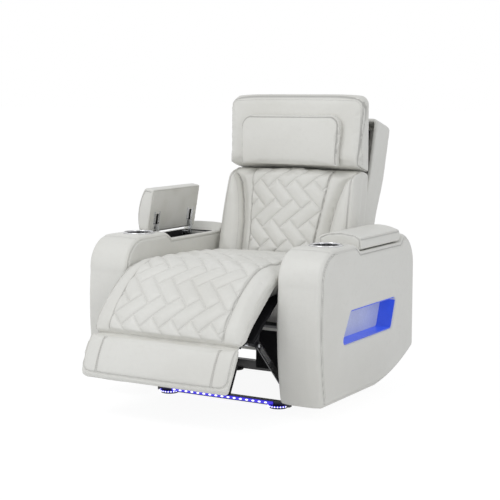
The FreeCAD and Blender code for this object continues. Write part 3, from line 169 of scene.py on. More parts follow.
def step_between(tree, source, low, high, start, stop):
    """A smooth step of a value: start below low, stop above high."""
    step = add_node(tree, "ShaderNodeMapRange", {"interpolation_type": "SMOOTHSTEP"},
                    From_Min=low, From_Max=high, To_Min=start, To_Max=stop)
    tree.links.new(source, step.inputs["Value"])
    return step.outputs["Result"]


def blend_colour(tree, factor, first, second):
    mixer = add_node(tree, "ShaderNodeMix", {"data_type": "RGBA"})
    tree.links.new(factor, mixer.inputs["Factor"])
    for socket, colour in (("A", first), ("B", second)):
        target = [s for s in mixer.inputs if s.name == socket and s.type == "RGBA"][0]
        if isinstance(colour, tuple):
            target.default_value = colour
        else:
            tree.links.new(colour, target)
    return [s for s in mixer.outputs if s.type == "RGBA"][0]


def object_place(tree):
    return tree.nodes.new("ShaderNodeTexCoord").outputs["Object"]


def noise(tree, where, scale, detail=2.0, distortion=0.0):
    cloud = add_node(tree, "ShaderNodeTexNoise", Scale=scale, Detail=detail, Distortion=distortion)
    tree.links.new(where, cloud.inputs["Vector"])
    return cloud.outputs["Fac"]


def attribute(tree, name):
    return add_node(tree, "ShaderNodeAttribute", {"attribute_name": name}).outputs["Fac"]


def leather(name, light, shade, roughness):
    """Grained leatherette. Attributes seam and quilt hold the distance to sewn lines in metres, a third how
    dark the painted shade in the seams' creases is, and under is 1 where black lining takes over below;
    on the calf's tucked sides under carries a little painted shade instead."""
    mat, tree, shader = node_material(name)
    where = object_place(tree)
    colour = blend_colour(tree, step_between(tree, noise(tree, where, 3.0, 5), 0.35, 0.75, 0, 1), light, shade)
    colour = blend_colour(tree, step_between(tree, noise(tree, where, 60, 4), 0.45, 0.8, 0, 0.35), colour, shade)
    grain = add_node(tree, "ShaderNodeTexVoronoi", {"feature": "SMOOTH_F1"}, Scale=430)
    tree.links.new(where, grain.inputs["Vector"])
    fleck = noise(tree, where, 900)
    bump = chain_bump(tree, noise(tree, where, 11, 3, 0.8), 0.007, 0.22)
    bump = chain_bump(tree, noise(tree, where, 38, 2, 0.4), 0.0016, 0.25, bump)
    bump = chain_bump(tree, grain.outputs["Distance"], 0.0006, 0.40, bump)
    bump = chain_bump(tree, fleck, 0.0003, 0.25, bump)
    seam, quilt = attribute(tree, "seam"), attribute(tree, "quilt")
    # Painted shade: within about a centimetre of a seam the colour darkens towards the shade colour.
    colour = blend_colour(tree, step_between(tree, seam, 0.004, 0.014, 0.22, 0), colour, shade)
    # Painted shade in each seam's crease, scaled per point.
    line = add_node(tree, "ShaderNodeMath", {"operation": "MULTIPLY"})
    tree.links.new(step_between(tree, seam, 0.0006, 0.0026, 1, 0), line.inputs[0])
    tree.links.new(attribute(tree, "tone"), line.inputs[1])
    colour = blend_colour(tree, line.outputs[0], colour, PAINTED_CREASE_SHADE)
    # Painted shade in the quilting channels.
    colour = blend_colour(tree, step_between(tree, quilt, 0.0004, 0.0030, 0.06, 0), colour, PAINTED_CREASE_SHADE)
    bump = chain_bump(tree, step_between(tree, seam, 0.0, 0.0045, 0, 1), 0.0030, 0.8, bump)
    bump = chain_bump(tree, step_between(tree, quilt, 0.0, 0.0050, 0, 1), 0.0022, 0.7, bump)
    # Black lining where under is 1; the same blend lays a little painted shade on the calf's tucked sides.
    colour = blend_colour(tree, attribute(tree, "under"), colour, (0.012, 0.012, 0.013, 1))
    tree.links.new(bump, shader.inputs["Normal"])
    tree.links.new(colour, shader.inputs["Base Color"])
    tree.links.new(step_between(tree, fleck, 0.3, 0.7, roughness - 0.05, roughness + 0.08),
                   shader.inputs["Roughness"])
    shader.inputs["Specular IOR Level"].default_value = 0.40
    return mat


ivory = leather("ivory leatherette", IVORY, IVORY_SHADE, 0.45)


def link_mesh(name, mesh):
    item = bpy.data.objects.new(name, mesh)
    bpy.context.scene.collection.objects.link(item)
    return item


def evaluated(item):
    """The item with its modifiers applied to its mesh and removed."""
    bpy.context.view_layer.update()
    mesh = bpy.data.meshes.new_from_object(item.evaluated_get(bpy.context.evaluated_depsgraph_get()))
    item.modifiers.clear()
    item.data = mesh
    return item


def tidy_normals(mesh):
    shell = bmesh.new()
    shell.from_mesh(mesh)
    bmesh.ops.remove_doubles(shell, verts=shell.verts, dist=1e-5)
    bmesh.ops.recalc_face_normals(shell, faces=shell.faces)
    shell.to_mesh(mesh)
    shell.free()
    return mesh


def merged_copy(name, cad_name):
    """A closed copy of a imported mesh."""
    mesh = bpy.data.meshes.new(name)
    shell = bmesh.new()
    shell.from_mesh(nodes[cad_name].data)
    shell.to_mesh(mesh)
    shell.free()
    return link_mesh(name, tidy_normals(mesh))


def remeshed(item, voxel):
    change = item.modifiers.new("remesh", "REMESH")
    change.mode = "VOXEL"
    change.voxel_size = voxel
    return evaluated(item)


def subdivided(item):
    change = item.modifiers.new("subdivide", "SUBSURF")
    change.levels = change.render_levels = 1
    return evaluated(item)


def points_of(item):
    spots = np.zeros(len(item.data.vertices) * 3)
    item.data.vertices.foreach_get("co", spots)
    return spots.reshape(-1, 3)


def normals_of(item):
    rays = np.zeros(len(item.data.vertices) * 3)
    item.data.vertex_normals.foreach_get("vector", rays)
    return rays.reshape(-1, 3)


def set_points(item, spots):
    item.data.vertices.foreach_set("co", np.asarray(spots, float).ravel())
    item.data.update()


def mark(item, **lines):
    """Store distances to sewn lines, how dark the painted shade in their creases is, and where lining shows
    (with a little painted shade on the calf's tucked sides), on the item's points. NO_SEAM is a distance at
    which no line shows."""
    count = len(item.data.vertices)
    for name, usual in (("seam", NO_SEAM), ("quilt", NO_SEAM), ("under", 0.0), ("tone", 0.5)):
        layer = item.data.attributes.get(name) or item.data.attributes.new(name, "FLOAT", "POINT")
        amounts = np.broadcast_to(np.asarray(lines.get(name, usual), np.float32), (count,))
        layer.data.foreach_set("value", np.ascontiguousarray(amounts))


def relaxed(item, rounds):
    """Even out the surface: each point moves half way to the mean of its neighbours."""
    count = len(item.data.vertices)
    pairs = np.zeros(len(item.data.edges) * 2, int)
    item.data.edges.foreach_get("vertices", pairs)
    pairs = pairs.reshape(-1, 2)
    spots = points_of(item)
    degree = np.bincount(pairs.ravel(), minlength=count).reshape(-1, 1)
    for _ in range(rounds):
        total = np.zeros_like(spots)
        for axis in range(3):
            total[:, axis] += np.bincount(pairs[:, 0], spots[pairs[:, 1], axis], count)
            total[:, axis] += np.bincount(pairs[:, 1], spots[pairs[:, 0], axis], count)
        spots = spots + (total / np.maximum(degree, 1) - spots) * 0.5
    set_points(item, spots)
    return item


def stuffed(item, cap, free, pressure=4.0):
    """Blow the cover up as cloth under inner pressure. Each point moves at most cap times its share."""
    before = points_of(item)
    cloth = item.modifiers.new("cloth", "CLOTH")
    cloth.settings.quality = 4
    cloth.settings.use_pressure = True
    cloth.settings.uniform_pressure_force = pressure
    cloth.settings.tension_stiffness = 18
    cloth.settings.compression_stiffness = 18
    cloth.settings.shear_stiffness = 6
    cloth.settings.bending_stiffness = 2.5
    cloth.settings.effector_weights.gravity = 0
    cloth.point_cache.frame_start = 1
    cloth.point_cache.frame_end = 20
    for step in range(1, 21):
        bpy.context.scene.frame_set(step)
    evaluated(item)
    bpy.context.scene.frame_set(1)
    move = points_of(item) - before
    length = np.linalg.norm(move, axis=1, keepdims=True)
    limit = cap * np.asarray(free).reshape(-1, 1)
    set_points(item, before + move * np.minimum(1.0, limit / np.maximum(length, 1e-9)))
    return item


def gap_to_runs(spots, runs, closed=False):
    """Distance from 2D points to a run of straight stretches, and the place along it."""
    best = np.full(len(spots), 9.0)
    along = np.zeros(len(spots))
    start = 0.0
    for first, last in zip(runs, runs[1:] + ([runs[0]] if closed else [])):
        first, last = np.array(first, float), np.array(last, float)
        step = last - first
        length = np.linalg.norm(step)
        part = np.clip(((spots - first) @ step) / (length * length), 0, 1)
        gap = np.linalg.norm(spots - (first + part[:, None] * step), axis=1)
        near = gap < best
        best[near] = gap[near]
        along[near] = (start + part * length)[near]
        start += length
    return best, along


def points_mesh(name, spots, rays):
    """Loose points with a direction each."""
    mesh = bpy.data.meshes.new(name)
    mesh.from_pydata([tuple(s) for s in spots], [], [])
    layer = mesh.attributes.new("ray", "FLOAT_VECTOR", "POINT")
    layer.data.foreach_set("vector", np.asarray(rays, np.float32).ravel())
    return link_mesh(name, mesh)


def new_tree(name, sizes):
    tree = bpy.data.node_groups.new(name, "GeometryNodeTree")
    tree.interface.new_socket("Geometry", in_out="INPUT", socket_type="NodeSocketGeometry")
    for label, value in sizes.items():
        tree.interface.new_socket(label, in_out="INPUT", socket_type="NodeSocketFloat").default_value = value
    tree.interface.new_socket("Geometry", in_out="OUTPUT", socket_type="NodeSocketGeometry")
    return tree, tree.nodes.new("NodeGroupInput"), tree.nodes.new("NodeGroupOutput")


def grown(item, tree, **sizes):
    """Run a tree on the item and keep the result as its plain mesh."""
    change = item.modifiers.new("grow", "NODES")
    change.node_group = tree
    for socket in tree.interface.items_tree:
        label = socket.name.replace(" ", "_")
        if socket.in_out == "INPUT" and label in sizes:
            change[socket.identifier] = sizes[label]
    evaluated(item)
    tidy_normals(item.data)
    return item


def set_on_points(tree, source, instance, output, mat):
    """Instances on points, Z along each point's ray, realized and painted."""
    ray = add_node(tree, "GeometryNodeInputNamedAttribute", {"data_type": "FLOAT_VECTOR"}, Name="ray")
    turn = add_node(tree, "FunctionNodeAlignEulerToVector", {"axis": "Z"})
    put = tree.nodes.new("GeometryNodeInstanceOnPoints")
    real = tree.nodes.new("GeometryNodeRealizeInstances")
    paint = add_node(tree, "GeometryNodeSetMaterial", Material=mat)
    tree.links.new(ray.outputs["Attribute"], turn.inputs["Vector"])
    tree.links.new(source, put.inputs["Points"])
    tree.links.new(instance, put.inputs["Instance"])
    tree.links.new(turn.outputs["Rotation"], put.inputs["Rotation"])
    tree.links.new(put.outputs["Instances"], real.inputs[0])
    tree.links.new(real.outputs[0], paint.inputs["Geometry"])
    tree.links.new(paint.outputs["Geometry"], output.inputs[0])


thread_mat, tree, shader = node_material("grey thread")
cloud = noise(tree, object_place(tree), 1500)
tree.links.new(blend_colour(tree, step_between(tree, cloud, 0.3, 0.7, 0, 1), (0.52, 0.51, 0.48, 1),
                            (0.42, 0.41, 0.38, 1)), shader.inputs["Base Color"])
tree.links.new(step_between(tree, cloud, 0.3, 0.7, 0.6, 0.8), shader.inputs["Roughness"])
tree.links.new(chain_bump(tree, cloud, 0.0002, 0.5), shader.inputs["Normal"])
stitches, given, result = new_tree("row of stitches", {"Stitch Length": 0.0045, "Thread Radius": 0.0005})
thread = add_node(stitches, "GeometryNodeMeshCylinder", Vertices=6)
stitches.links.new(given.outputs["Stitch Length"], thread.inputs["Depth"])
stitches.links.new(given.outputs["Thread Radius"], thread.inputs["Radius"])
set_on_points(stitches, given.outputs["Geometry"], thread.outputs["Mesh"], result, thread_mat)
STITCH_PITCH = 0.0065
STITCH_ASIDE = 0.0035


def sewn(item, body, runs):
    """Lay a row of stitches on the item along each run of 3D points, and let it ride like the item."""
    spots, faces = points_of(item), [tuple(p.vertices) for p in item.data.polygons]
    skin = BVHTree.FromPolygons(spots.tolist(), faces)
    places, rays = [], []
    for run in runs:
        run = np.array(run, float)
        steps = np.linalg.norm(np.diff(run, axis=0), axis=1)
        total = np.concatenate(([0], np.cumsum(steps)))
        marks = np.arange(STITCH_PITCH / 2, total[-1], STITCH_PITCH)
        line = np.stack([np.interp(marks, total, run[:, k]) for k in range(3)], axis=1)
        laid = [skin.find_nearest(Vector(p)) for p in line]
        near = np.array([hit[0] + hit[1] * 0.0001 for hit in laid])
        places.append(near)
        rays.append(np.gradient(near, axis=0))
    rows = points_mesh(item.name.replace("cover", "stitches"), np.vstack(places), np.vstack(rays))
    grown(rows, stitches, Stitch_Length=0.0044, Thread_Radius=0.0005)
    return dress(rows, body, "upholstery", thread_mat)


def crease(gap, depth, width):
    return depth * np.exp(-(gap / width) ** 2)


def smooth(value):
    value = np.clip(value, 0, 1)
    return value * value * (3 - 2 * value)


def dress(item, body, slot, mat, *replaced, fill=None):
    """Finish a piece: its material, the nodes it stands for and the body it rides on. The slot is not used."""
    item.data.materials.clear()
    item.data.materials.append(mat)
    item.data.polygons.foreach_set("use_smooth", np.ones(len(item.data.polygons), bool))
    item.data.update()
    if replaced:
        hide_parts(*replaced)
    if body:
        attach(item, body)
    return item


# Arms: two padded casings of leatherette over a wooden frame.
# Each has an outer and an inner side panel sewn to one long strip that runs over the top, with a cross
# seam where the strip turns down at the front; cup, storage well and lit window are let into it.

SEAM_INSET = 0.012
ARM_INNER, ARM_OUTER = 0.3085, 0.4825
CUP_LINE, CUP_SETBACK = 0.3955, -0.131
BED_FRONT, BED_REAR, BED_LEVEL = -0.034, 0.301, 0.5562


def arc_points(first, last, radius, side, count):
    """Points of an arc between two places, its centre on the left of the chord where side is 1."""
    first, last = np.array(first, float), np.array(last, float)
    run = last - first
    half = np.linalg.norm(run) / 2
    left = np.array((-run[1], run[0])) / (2 * half)
    centre = (first + last) / 2 + left * math.sqrt(max(radius * radius - half * half, 0)) * side
    start = math.atan2(*(first - centre)[::-1])
    turn = (math.atan2(*(last - centre)[::-1]) - start + math.pi) % (2 * math.pi) - math.pi
    return [(centre[0] + radius * math.cos(start + turn * k / count),
             centre[1] + radius * math.sin(start + turn * k / count)) for k in range(count)]


nose = (0.110 ** 2 + 0.124 ** 2) / (2 * 0.124)
hump = (0.102 ** 2 + 0.116 ** 2) / (2 * 0.102)
arm_edge = [(-0.307, 0.053)] + arc_points((0.110, 0.053), (0.432, 0.147), 0.9, 1, 12) + [(0.432, 0.147)]
arm_edge += arc_points((0.432, 0.468), (0.330, 0.584), hump, 1, 10)
arm_edge += [(0.330, 0.584), (0.300, 0.557), (-0.033, 0.557), (-0.066, 0.582)]
arm_edge += arc_points((-0.218, 0.582), (-0.328, 0.458), nose, 1, 12)
arm_edge += arc_points((-0.328, 0.458), (-0.307, 0.053), 1.25, 1, 10)
window_edge = [(-0.172, 0.244), (0.233, 0.244), (0.275, 0.357), (-0.103, 0.357)]
cross_seam = [(-0.252, 0.600), (-0.252, 0.520)]
for side_name, side in (("left", -1), ("right", 1)):
    arm = merged_copy(f"arm_cover_{side_name}", f"arm_{side_name}")
    remeshed(arm, voxel=0.0046)
    relaxed(arm, rounds=2)
    spots, rays = points_of(arm), normals_of(arm)
    rim, _ = gap_to_runs(spots[:, 1:], arm_edge, closed=True)
    hole, _ = gap_to_runs(spots[:, 1:], window_edge, closed=True)
    turn, _ = gap_to_runs(spots[:, 1:], cross_seam)
    cup = np.hypot(np.abs(spots[:, 0]) - CUP_LINE, spots[:, 1] - CUP_SETBACK)
    face = np.clip((np.abs(rays[:, 0]) - 0.35) / 0.4, 0, 1)
    shell = np.abs(spots[:, 0]) > ARM_OUTER - 0.02
    outer_face = face * (rays[:, 0] * side > 0) * shell
    puff = 0.0045 * np.clip(rim / 0.07, 0, 1) ** 0.7 * np.clip(hole / 0.05, 0, 1)
    across = np.minimum(np.abs(spots[:, 0]) - ARM_INNER, ARM_OUTER - np.abs(spots[:, 0]))
    strip = (1 - face) * np.clip(across / 0.05, 0, 1) * (rim < 0.02)
    on_strip = (strip > 0.05) & (spots[:, 1] < -0.2) & (spots[:, 2] > 0.45)
    seam = np.where((face > 0.2) & (rim < 0.04), np.abs(rim - SEAM_INSET), NO_SEAM)
    seam = np.where(on_strip, np.minimum(seam, turn), seam)
    lift = outer_face * puff - crease(np.abs(rim - SEAM_INSET), 0.0022, 0.005) * face
    lift = lift + strip * 0.0035 * (cup > 0.075) - np.where(on_strip, crease(turn, 0.0018, 0.005), 0)
    spots = spots + rays * lift[:, None]
    over_bed = (spots[:, 1] > BED_FRONT) & (spots[:, 1] < BED_REAR) & (spots[:, 2] > BED_LEVEL)
    spots[over_bed, 2] = BED_LEVEL
    set_points(arm, spots)
    # The seams' creases get painted shade: faint on the inner side and the top strip, stronger elsewhere.
    mark(arm, seam=seam, tone=np.where((rays[:, 0] * side < -0.2) | on_strip, 0.12, 0.42))
    dress(arm, "chair", "upholstery", ivory, f"arm_{side_name}", fill=0.9)
    front_run = arc_points((-0.312, 0.455), (-0.291, 0.070), 1.2, 1, 24)
    top_run = arc_points((-0.214, 0.566), (-0.312, 0.455), nose - 0.016, 1, 12)
    sewn(arm, "chair", [[(ARM_OUTER * side, *p) for p in top_run + front_run]])


# Seat and calf pad: one quilted cushion that runs from the seat over the knee and down to the fold.
# Foam under leatherette, sewn in a herringbone of long tiles between two plain borders, with black
# lining beneath.

knee = np.array((-0.230, 0.424))
lean = math.radians(36)
CHAISE_HALF, CHAISE_BORDER = 0.3015, 0.230
TILE_PITCH, TILE_DROP = 0.079, 0.084
TILE_RISE, CROWN_RISE, SIDE_FALL, CORNER_PULL = 0.0088, 0.006, 0.016, 0.026


def from_knee(run, rise):
    """A place in the footrest's leaning frame, in the chair's frame."""
    return (knee[0] + run * math.cos(lean) - rise * math.sin(lean),
            knee[1] + run * math.sin(lean) + rise * math.cos(lean))


chaise_top = [from_knee(-0.334, 0.074)]
chaise_top += [from_knee(*p) for p in arc_points((-0.333, 0.081), (-0.090, 0.122), 0.518, -1, 14)[1:]]
chaise_top += [from_knee(*p) for p in arc_points((-0.090, 0.122), (0.052, 0.058), 0.210, -1, 8)]
chaise_top += [(-0.205, 0.503), (-0.160, 0.5035), (-0.08, 0.502), (0.0, 0.499), (0.08, 0.494), (0.16, 0.488),
               (0.200, 0.481)]
chaise_under = [(0.203, 0.468), (0.203, 0.402), (-0.140, 0.402), (-0.150, 0.420)]
chaise_under += [(knee[0] + 0.052 * math.cos(math.radians(a)), knee[1] + 0.052 * math.sin(math.radians(a)))
                 for a in range(10, 152, 14)]
chaise_under += [from_knee(-0.03, 0.0165), from_knee(-0.10, 0.0165), from_knee(-0.237, 0.0165),
                 from_knee(-0.322, 0.052), from_knee(-0.332, 0.062)]


def extruded(name, outline, half):
    """A closed solid of an outline in the YZ plane, from -half to half along X."""
    shell = bmesh.new()
    rings = [[shell.verts.new((x, p[0], p[1])) for p in outline] for x in (-half, half)]
    count = len(outline)
    for k in range(count):
        n = (k + 1) % count
        shell.faces.new((rings[0][k], rings[0][n], rings[1][n], rings[1][k]))
    for ring in rings:
        shell.faces.new(ring)
    bmesh.ops.triangulate(shell, faces=shell.faces)
    bmesh.ops.recalc_face_normals(shell, faces=shell.faces)
    mesh = bpy.data.meshes.new(name)
    shell.to_mesh(mesh)
    shell.free()
    return link_mesh(name, mesh)


def herringbone(across, along):
    """Distance to the nearest sewn line of a herringbone of tiles set at half a right angle."""
    half = TILE_PITCH / 2
    full = TILE_DROP + half
    u = across - np.round(across / TILE_PITCH) * TILE_PITCH
    v = along - np.round(along / (2 * TILE_DROP)) * (2 * TILE_DROP)
    best = np.full(len(across), 9.0)
    for column in range(-3, 4):
        for row in range(-1, 2):
            base = np.array((column * TILE_PITCH, row * 2 * TILE_DROP))
            for start, stop in (((0, 0), (full, -full)), ((TILE_DROP, TILE_DROP), (-half, -half))):
                first = base + np.array(start)
                step = np.array(stop, float) - np.array(start)
                part = np.clip(((u - first[0]) * step[0] + (v - first[1]) * step[1]) / (step @ step), 0, 1)
                gap = np.hypot(u - first[0] - part * step[0], v - first[1] - part * step[1])
                best = np.minimum(best, gap)
    return best


chaise = extruded("chaise_cover", chaise_top + chaise_under, CHAISE_HALF)
remeshed(chaise, voxel=0.0072)
relaxed(chaise, rounds=2)
spots = points_of(chaise)
top_gap, _ = gap_to_runs(spots[:, 1:], chaise_top)
upper = np.clip(1.0 - top_gap / 0.03, 0, 1) * np.clip((CHAISE_HALF - np.abs(spots[:, 0])) / 0.03, 0.3, 1)
stuffed(chaise, cap=0.008, free=upper)
subdivided(chaise)
spots, rays = points_of(chaise), normals_of(chaise)
top_gap, along = gap_to_runs(spots[:, 1:], chaise_top)

# On top: tiles and crown stand out, the borders' seams press in and the outer edges fall away.
facing = np.clip((rays[:, 2] - rays[:, 1] * 0.5 - 0.35) / 0.3, 0, 1) * (top_gap < 0.03)
side_drop = SIDE_FALL * np.clip((np.abs(spots[:, 0]) - 0.262) / 0.036, 0, 1) ** 2.0
crown = CROWN_RISE * (1 - np.clip(np.abs(spots[:, 0]) / CHAISE_BORDER, 0, 1) ** 2)
border = np.abs(np.abs(spots[:, 0]) - CHAISE_BORDER)
inside = np.abs(spots[:, 0]) < CHAISE_BORDER
lines = np.where(inside & (along < 0.86), herringbone(spots[:, 0] - 0.014, along - 0.235), NO_SEAM)
tile = TILE_RISE * (1 - np.exp(-lines / 0.013)) * inside
spots = spots + rays * ((tile + crown - crease(border, 0.0032, 0.006)) * facing)[:, None]
spots[:, 2] -= side_drop * facing

# Under the calf: the sides tuck in below a soft edge and carry a little painted shade, lining closes the bottom and
# the corners round off.
run = (spots[:, 1] - knee[0]) * math.cos(lean) + (spots[:, 2] - knee[1]) * math.sin(lean)
rise = (spots[:, 2] - knee[1]) * math.cos(lean) - (spots[:, 1] - knee[0]) * math.sin(lean)
calf = smooth((-0.005 - run) / 0.06)
outward = np.clip((np.abs(spots[:, 0]) - 0.2) / 0.06, 0, 1)
hem = np.interp(-run, (0.06, 0.20, 0.33), (0.070, 0.066, 0.060))
under = smooth((hem - rise) / 0.008) * calf
edge_line = np.interp(-run, (0.0, 0.09, 0.21, 0.33), (0.100, 0.118, 0.106, 0.074))
tuck = smooth((edge_line - 0.016 - rise) / 0.020) * calf
corner = np.clip((np.abs(spots[:, 0]) - 0.270) / 0.0315, 0, 1)
pull = CORNER_PULL * (1 - np.sqrt(1 - corner ** 2 * 0.96)) * smooth((-run - 0.28) / 0.04)
spots[:, 0] *= 1 - (0.018 * tuck + 0.13 * under) * outward
spots[:, 1] += pull * math.cos(lean)
spots[:, 2] += pull * math.sin(lean)

set_points(chaise, spots)
# The tucked sides get a little painted shade through the lining blend.
mark(chaise, seam=np.where(facing > 0.2, border, NO_SEAM), quilt=np.where(facing > 0.2, lines, NO_SEAM),
     under=np.maximum(under, 0.05 * tuck), tone=0.24)
dress(chaise, None, "upholstery", ivory, "seat_cushion", "legrest_pad")
border_rows = [[(x * side, *p) for p in chaise_top]
               for x in (CHAISE_BORDER - STITCH_ASIDE, CHAISE_BORDER + STITCH_ASIDE) for side in (-1, 1)]
chaise_thread = sewn(chaise, None, border_rows)
for item in (chaise, chaise_thread):
    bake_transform(item)


# Foot pad: a plain bolster below the quilted cushion, sewn from a middle and two side panels, with a seam
# round its lower edge and black lining behind; it folds away under the calf.
# A gusset of the same leatherette closes the fold between the two.

FOLD = np.array((-0.5299675, 0.2703364))
FLAP_TURN = math.radians(61)
FOOT_HALF, FOOT_BORDER, FOOT_HEM = 0.3005, 0.232, -0.141


def placed(local, origin, turn):
    """Points given as X, depth and rise in a frame turned about X, in the chair's frame."""
    c, s = math.cos(turn), math.sin(turn)
    return np.stack((local[:, 0], origin[0] + local[:, 1] * c - local[:, 2] * s,
                     origin[1] + local[:, 1] * s + local[:, 2] * c), axis=1)


def local_of(spots, origin, turn):
    c, s = math.cos(turn), math.sin(turn)
    y, z = spots[:, 1] - origin[0], spots[:, 2] - origin[1]
    return np.stack((spots[:, 0], y * c + z * s, z * c - y * s), axis=1)


foot_face = arc_points((-0.153, 0.017), (-0.006, 0.027), 0.34, -1, 12) + [(-0.006, 0.027)]
foot_face = [(-0.151, -0.010), (-0.155, 0.002)] + foot_face
foot_rear = [(-0.002, 0.018), (-0.0045, 0.009), (-0.012, 0.004), (-0.0235, -0.011)]
foot = extruded("foot_cover", foot_face + foot_rear, FOOT_HALF)
remeshed(foot, voxel=0.0050)
relaxed(foot, rounds=3)
spots = points_of(foot)
stuffed(foot, cap=0.005, free=np.clip((spots[:, 2] - 0.005) / 0.015, 0, 1))
subdivided(foot)
spots, rays = points_of(foot), normals_of(foot)
half_face = np.clip((rays[:, 2] - 0.2) / 0.4, 0, 1)
border = np.abs(np.abs(spots[:, 0]) - FOOT_BORDER)
foot_edge = [(-0.291, -0.002), (-0.291, -0.112), (-0.286, -0.127), (-0.274, -0.137), (-0.258, FOOT_HEM)]
foot_edge += [(-x, along) for x, along in reversed(foot_edge)]
edge, _ = gap_to_runs(spots[:, :2], foot_edge)
lift = 0.004 * (1 - np.clip(np.abs(spots[:, 0]) / 0.22, 0, 1) ** 2) - crease(border, 0.0022, 0.005)
spots = spots + rays * ((lift - crease(edge, 0.0030, 0.004)) * half_face)[:, None]
border = np.where(half_face > 0.1, np.minimum(edge, np.where(spots[:, 1] > FOOT_HEM, border, NO_SEAM)), NO_SEAM)
corner = np.clip((np.abs(spots[:, 0]) - 0.283) / 0.018, 0, 1)
low_share = np.clip((-spots[:, 1] - 0.09) / 0.06, 0, 1)
spots[:, 1] += 0.010 * (1 - np.sqrt(1 - corner ** 2 * 0.96)) * low_share
spots[:, 0] *= 1.006 - 0.055 * np.clip((0.022 - spots[:, 2]) / 0.03, 0, 1)
hem = np.where((np.abs(spots[:, 2] - 0.003) < 0.02) & (rays[:, 2] < 0.3), np.abs(spots[:, 2] - 0.003), NO_SEAM)
mark(foot, seam=np.minimum(border, hem), tone=np.where(edge < 0.008, 0.08, 0.20),
     under=smooth((-spots[:, 2] - 0.004) / 0.006) * (spots[:, 1] > -0.143))
set_points(foot, placed(spots, FOLD, FLAP_TURN))
dress(foot, "foot_flap", "upholstery", ivory, "foot_pad", fill=0.8)
panel_rows = [np.array([(x * side, along, 0.03) for along in np.linspace(-0.148, -0.004, 20)])
              for x in (FOOT_BORDER - STITCH_ASIDE, FOOT_BORDER + STITCH_ASIDE) for side in (-1, 1)]
sewn(foot, "foot_flap", [placed(row, FOLD, FLAP_TURN) for row in panel_rows])

ring = [from_knee(*p) for p in ((-0.316, 0.066), (-0.324, 0.062), (-0.331, 0.059), (-0.337, 0.0605),
                                (-0.343, 0.065), (-0.349, 0.0685), (-0.352, 0.064), (-0.341, 0.0565),
                                (-0.331, 0.0545), (-0.320, 0.058))]
stations = np.linspace(-0.285, 0.285, 58)
rows = [(x, y, z) for x in stations for y, z in ring]
count, last = len(ring), len(stations) - 1
faces = [(r * count + k, r * count + (k + 1) % count, (r + 1) * count + (k + 1) % count, (r + 1) * count + k)
         for r in range(last) for k in range(count)]
faces += [tuple(range(count)), tuple(range(last * count, (last + 1) * count))]
mesh = bpy.data.meshes.new("fold_gusset")
mesh.from_pydata(rows, [], faces)
gusset = link_mesh("fold_gusset", tidy_normals(mesh))
mark(gusset)
dress(gusset, None, "upholstery", ivory)
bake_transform(gusset)


# Back cushion: a quilted middle panel between plain borders, with a raised wing down each side.
# Foam under leatherette; the borders dip into a deep crease along each wing.

BACK = np.array((0.300, 0.400))
BACK_TURN = math.radians(-16)
BACK_LOW, BACK_HIGH = 0.027, 0.417
BACK_TILE_RISE = 0.0070


def back_half(rise):
    return np.interp(rise, (BACK_LOW, 0.30, BACK_HIGH), (0.2985, 0.289, 0.281))


def wing_line(rise):
    return np.interp(rise, (0.02, 0.12, 0.19, 0.28, 0.35, 0.375, 0.395, 0.42),
                     (0.183, 0.186, 0.190, 0.205, 0.226, 0.242, 0.262, 0.30))


def panel_line(rise):
    return np.interp(rise, (0.02, 0.14, 0.40), (0.140, 0.143, 0.172))


def back_depth(x, rise):
    """Depth of the cushion's front; it is lowest in the crease beside each wing."""
    away = np.abs(x)
    wing, rim = wing_line(rise), back_half(rise)
    middle = -0.084 + 0.022 * np.clip(away / 0.19, 0, 1.2) ** 2
    part = np.clip((away - wing) / np.maximum(rim - wing, 0.02), 0, 1)
    bolster = -0.066 - 0.022 * np.sin(np.pi * np.clip(part * 0.85 + 0.05, 0, 1)) ** 0.6
    side = smooth((away - wing + 0.012) / 0.024)
    return (1 - side) * middle + side * bolster + crease(away - wing, 0.014, 0.015)


def grid_solid(name, half, low, high, front, rear, rounding, step):
    """A closed form over X and rise between a front and a rear depth, with rounded rims."""
    rows = np.arange(low, high + step / 2, step)
    cols = np.linspace(-1, 1, int(2 * np.max(half(rows)) / step) + 1)
    rise, across = np.meshgrid(rows, cols, indexing="ij")
    x = across * half(rise)
    reach = np.minimum(half(rise) - np.abs(x), np.minimum(rise - low, high - rise))
    t = np.clip(1 - reach / rounding, 0, 1)
    drop = rounding * (1 - np.sqrt(np.maximum(1 - t * t, 0)))
    near = front(x, rise) + drop
    far = np.maximum(rear(x, rise) - drop, near + 0.004)
    rows_n, cols_n = x.shape
    size = rows_n * cols_n
    layers = np.vstack([np.stack((x, depth, rise), axis=-1).reshape(-1, 3) for depth in (near, far)])

    def at(r, c, layer):
        return r * cols_n + c + layer * size

    faces = []
    for r in range(rows_n - 1):
        for c in range(cols_n - 1):
            faces.append((at(r, c, 0), at(r, c + 1, 0), at(r + 1, c + 1, 0), at(r + 1, c, 0)))
            faces.append((at(r, c, 1), at(r + 1, c, 1), at(r + 1, c + 1, 1), at(r, c + 1, 1)))
    rim = [(0, c) for c in range(cols_n)] + [(r, cols_n - 1) for r in range(1, rows_n)]
    rim += [(rows_n - 1, c) for c in range(cols_n - 2, -1, -1)] + [(r, 0) for r in range(rows_n - 2, 0, -1)]
    for k, here in enumerate(rim):
        after = rim[(k + 1) % len(rim)]
        faces.append((at(*after, 0), at(*here, 0), at(*here, 1), at(*after, 1)))
    mesh = bpy.data.meshes.new(name)
    mesh.from_pydata(layers.tolist(), [], faces)
    return link_mesh(name, tidy_normals(mesh))


